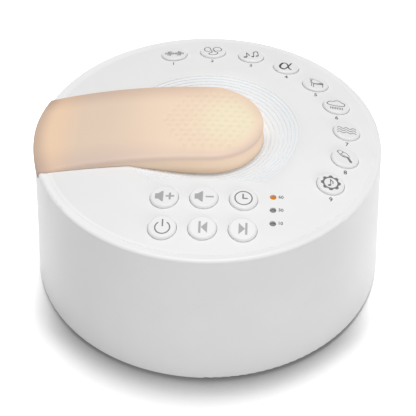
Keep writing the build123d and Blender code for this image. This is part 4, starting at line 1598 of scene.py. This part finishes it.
@dataclass
class TopPanel:
    """The domed panel, its edge drawn out by the seam's width so that no gap shows at the rim."""

    edge_start: float = 61.74 * MM
    edge: float = 61.9 * MM
    seam: float = 0.055 * MM

    def build(self, part: Object) -> None:
        """Copies the panel and moves its edge out.

        Args:
            part: The frame's panel.
        """
        panel = copy_of_part(part, "domed_panel")
        for vertex in panel.data.vertices:
            reach = vertex.co.to_2d().length
            share = min((reach - self.edge_start) / (self.edge - self.edge_start), 1.0)
            if share > 0.0:
                vertex.co.xy *= (reach + share * self.seam) / reach
        smooth(panel, PART_SMOOTHING)
        dress(panel, Palette.panel.material())
        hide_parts("top_panel")
        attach(panel, "body")
        LOG.info("made the panel with %d faces", len(panel.data.polygons))


@dataclass
class BaseScrews:
    """The screws that hold the base, with rounded heads and cross recesses.

    A recess is given by its slots' length, their width and twice their depth.
    """

    head_radius: float = 2.0 * MM
    head_height: float = 1.4 * MM
    rounding: float = 0.4 * MM
    recess: tuple[float, float, float] = (2.3 * MM, 0.45 * MM, 1.5 * MM)
    shank_radius: float = 1.05 * MM
    core_share: float = 0.78
    thread_pitch: float = 0.8 * MM
    circle: float = 56.0 * MM
    angles: tuple[float, ...] = (45.0, 135.0, 225.0, 315.0)
    twist: float = 1.7
    smoothing: float = 35.0

    def head(self, bottom: float) -> Object:
        """Models a head that faces the floor, with its cross recess.

        Args:
            bottom: The height of the head's lowest face.

        Returns:
            The head, on the Z axis.
        """
        head = added(
            bpy.ops.mesh.primitive_cylinder_add, vertices=40, radius=self.head_radius,
            depth=self.head_height, location=(0, 0, bottom + self.head_height / 2),
        )
        settle(head)
        bevelled(head, self.rounding)
        for turn in (0.0, 90.0):
            slot = added(bpy.ops.mesh.primitive_cube_add, size=1.0, location=(0, 0, bottom))
            slot.scale = self.recess
            slot.rotation_euler.z = math.radians(turn)
            settle(slot)
            cut_by(head, slot)
        return head

    def shank(self, bottom: float, top: float) -> Object:
        """Models a shank with a ringed thread.

        Args:
            bottom: The shank's lower end.
            top: Its upper end.

        Returns:
            The shank, on the Z axis.
        """
        rings = []
        for index in range(int((top - bottom) / self.thread_pitch)):
            ring = added(
                bpy.ops.mesh.primitive_cone_add, vertices=24, radius1=self.shank_radius,
                radius2=self.shank_radius * self.core_share, depth=self.thread_pitch,
                location=(0, 0, bottom + (index + 0.5) * self.thread_pitch),
            )
            settle(ring)
            rings.append(ring)
        return joined("shank", rings)

    def build(self) -> None:
        """Models one screw and copies it to the four corners."""
        low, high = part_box("base_screws")
        screw = joined("screw", [self.head(low.z), self.shank(low.z + self.head_height, high.z)])
        copies = []
        for turn in map(math.radians, self.angles):
            copy = duplicate(screw)
            copy.location = (self.circle * math.cos(turn), self.circle * math.sin(turn), 0.0)
            copy.rotation_euler.z = turn * self.twist
            settle(copy)
            copies.append(copy)
        bpy.data.objects.remove(screw, do_unlink=True)
        screws = joined("cross_head_screws", copies)
        smooth(screws, self.smoothing)
        dress(screws, Palette.steel.material())
        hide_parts("base_screws")
        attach(screws, "body")
        LOG.info("made the base screws")


class Light(Enum):
    """The studio's lamps: place, aim, width and height in metres, and power in watts."""

    OVERHEAD = ((0.07, 0.4, 2.4), (0.0, 0.0, 0.05), 0.8, 0.8, 38.5)
    RIGHT = ((0.98, -1.2, 0.3), (0.0, 0.0, 0.03), 1.2, 0.5, 8.6)
    LEFT = ((-1.3, -0.8, 0.3), (0.0, 0.0, 0.03), 1.2, 0.5, 4.3)


@dataclass
class Studio:
    """A pale floor, soft light and the camera.

    The floor has one colour where the camera sees it, a darker one close to the object that paints
    a contact shadow, a paler one beside and behind it that paints light over its shadow there, and
    one more for the light that it throws back.
    """

    world_level: float = 0.26
    floor_radius: float = 0.7
    floor_roughness: float = 0.9
    floor_seen: Colour = grey(1.14)
    # Painted contact shadow close to the object, and painted light that clears the shadow beside
    # and behind it.
    floor_contact_shadow: Colour = grey(0.62)
    near: float = 16.0 * MM
    open_sky: Span = (0.5, 1.0)
    floor_shadow_washout: Colour = grey(1.7)
    behind_y: Span = (-50.0 * MM, -8.0 * MM)
    floor_bounce: Colour = grey(0.66)
    camera_place: tuple[float, float, float] = (0.01675, -0.41703, 0.41043)
    camera_pitch: float = 47.26
    camera_turn: float = 2.3
    camera_lens: float = 125.4
    camera_range: Span = (0.01, 50.0)

    def floor(self) -> None:
        """Lays the floor, seen as white but for the soft shadow at the object's front.

        The shadow is partly cast by the lamps and partly painted close to the object, and painted
        light clears it beside and behind the object.
        """
        added(
            bpy.ops.mesh.primitive_circle_add, vertices=96, radius=self.floor_radius,
            fill_type="NGON",
        )
        floor = named("floor")
        hand, shader = Tree.of_material("floor_finish")
        # Painted contact shadow: the floor darkens where little open sky reaches it close to the
        # object.
        free = hand.add("ShaderNodeAmbientOcclusion", {"Distance": self.near}, samples=8)
        shown = hand.blend(
            hand.ramp(free.outputs["AO"], *self.open_sky), self.floor_contact_shadow, self.floor_seen
        )
        _, y, _ = hand.axes(hand.add("ShaderNodeTexCoord").outputs["Object"])
        # Painted light: the floor is lit up beside and behind the object, which clears the shadow
        # there.
        shown = hand.blend(hand.ramp(y, *self.behind_y), shown, self.floor_shadow_washout)
        hand.fill(shader, {
            "Base Color": hand.blend(hand.ray_is("Camera", "Glossy"), self.floor_bounce, shown),
            "Roughness": self.floor_roughness,
            "Specular IOR Level": 0.0,
        })
        dress(floor, bpy.data.materials["floor_finish"])

    def world(self) -> None:
        """Lights the scene evenly, and shows plain white behind it."""
        world = bpy.data.worlds.new("studio")
        bpy.context.scene.world = world
        world.use_nodes = True
        hand = Tree(world.node_tree)
        hand.nodes.clear()
        seen = hand.ray_is("Camera", "Glossy", "Transmission")
        dim, white = (
            hand.add("ShaderNodeBackground", {"Color": grey(1.0), "Strength": level}).outputs[0]
            for level in (self.world_level, 1.0)
        )
        mix = hand.add("ShaderNodeMixShader", {0: seen, 1: dim, 2: white})
        hand.add("ShaderNodeOutputWorld", {"Surface": mix.outputs[0]})

    def lamps(self) -> None:
        """Hangs the soft boxes."""
        for light in Light:
            place, aim, width, height, power = light.value
            lamp = added(bpy.ops.object.light_add, type="AREA", location=place)
            lamp.name = light.name.lower() + "_box"
            lamp.data.shape = "RECTANGLE"
            lamp.data.size = width
            lamp.data.size_y = height
            lamp.data.energy = power
            way = Vector(aim) - Vector(place)
            lamp.rotation_euler = way.to_track_quat("-Z", "Y").to_euler()

    def camera(self) -> None:
        """Sets the camera before the object and above it, with a long lens."""
        camera = added(
            bpy.ops.object.camera_add, location=self.camera_place,
            rotation=(math.radians(self.camera_pitch), 0.0, math.radians(self.camera_turn)),
        )
        camera.name = "camera"
        camera.data.lens = self.camera_lens
        camera.data.sensor_width = 36.0
        camera.data.clip_start, camera.data.clip_end = self.camera_range
        bpy.context.scene.camera = camera

    def build(self) -> None:
        """Sets up the whole studio."""
        self.floor()
        self.world()
        self.lamps()
        self.camera()
        bpy.context.scene.view_settings.view_transform = "Standard"
        LOG.info("set up the studio")


@dataclass
class SoundMachine:
    """The whole object: finishes on the frame's parts, and the pieces modelled here."""

    frame: dict

    def dress_parts(self) -> None:
        """Gives every part of the frame the finish of its slot."""
        for entry in self.frame["record"]["subparts"]:
            finish = Palette.by_slot.get(entry["material_slot"])
            if finish:
                part = self.frame["nodes"][entry["node"]]
                part.data.materials[0] = finish.material()
                LOG.info("dressed %s in %s", entry["node"], finish.name)

    def build(self) -> None:
        """Builds the object in order."""
        self.dress_parts()
        dome = Dome(rim_z=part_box("housing")[1].z)
        TopPanel().build(self.frame["nodes"]["top_panel"])
        NightLight().build(self.frame["nodes"]["lamp_shade"])
        keys = Keys(dome)
        keys.print_signs()
        keys.print_numbers()
        TimerLights().build(dome)
        BaseScrews().build()


def main() -> None:
    """Loads the frame, builds the object and the studio, and logs what it makes."""
    logging.basicConfig(level=logging.INFO, format="%(name)s: %(message)s")
    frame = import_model()
    SoundMachine(frame).build()
    Studio().build()


if __name__ == "__main__":
    main()
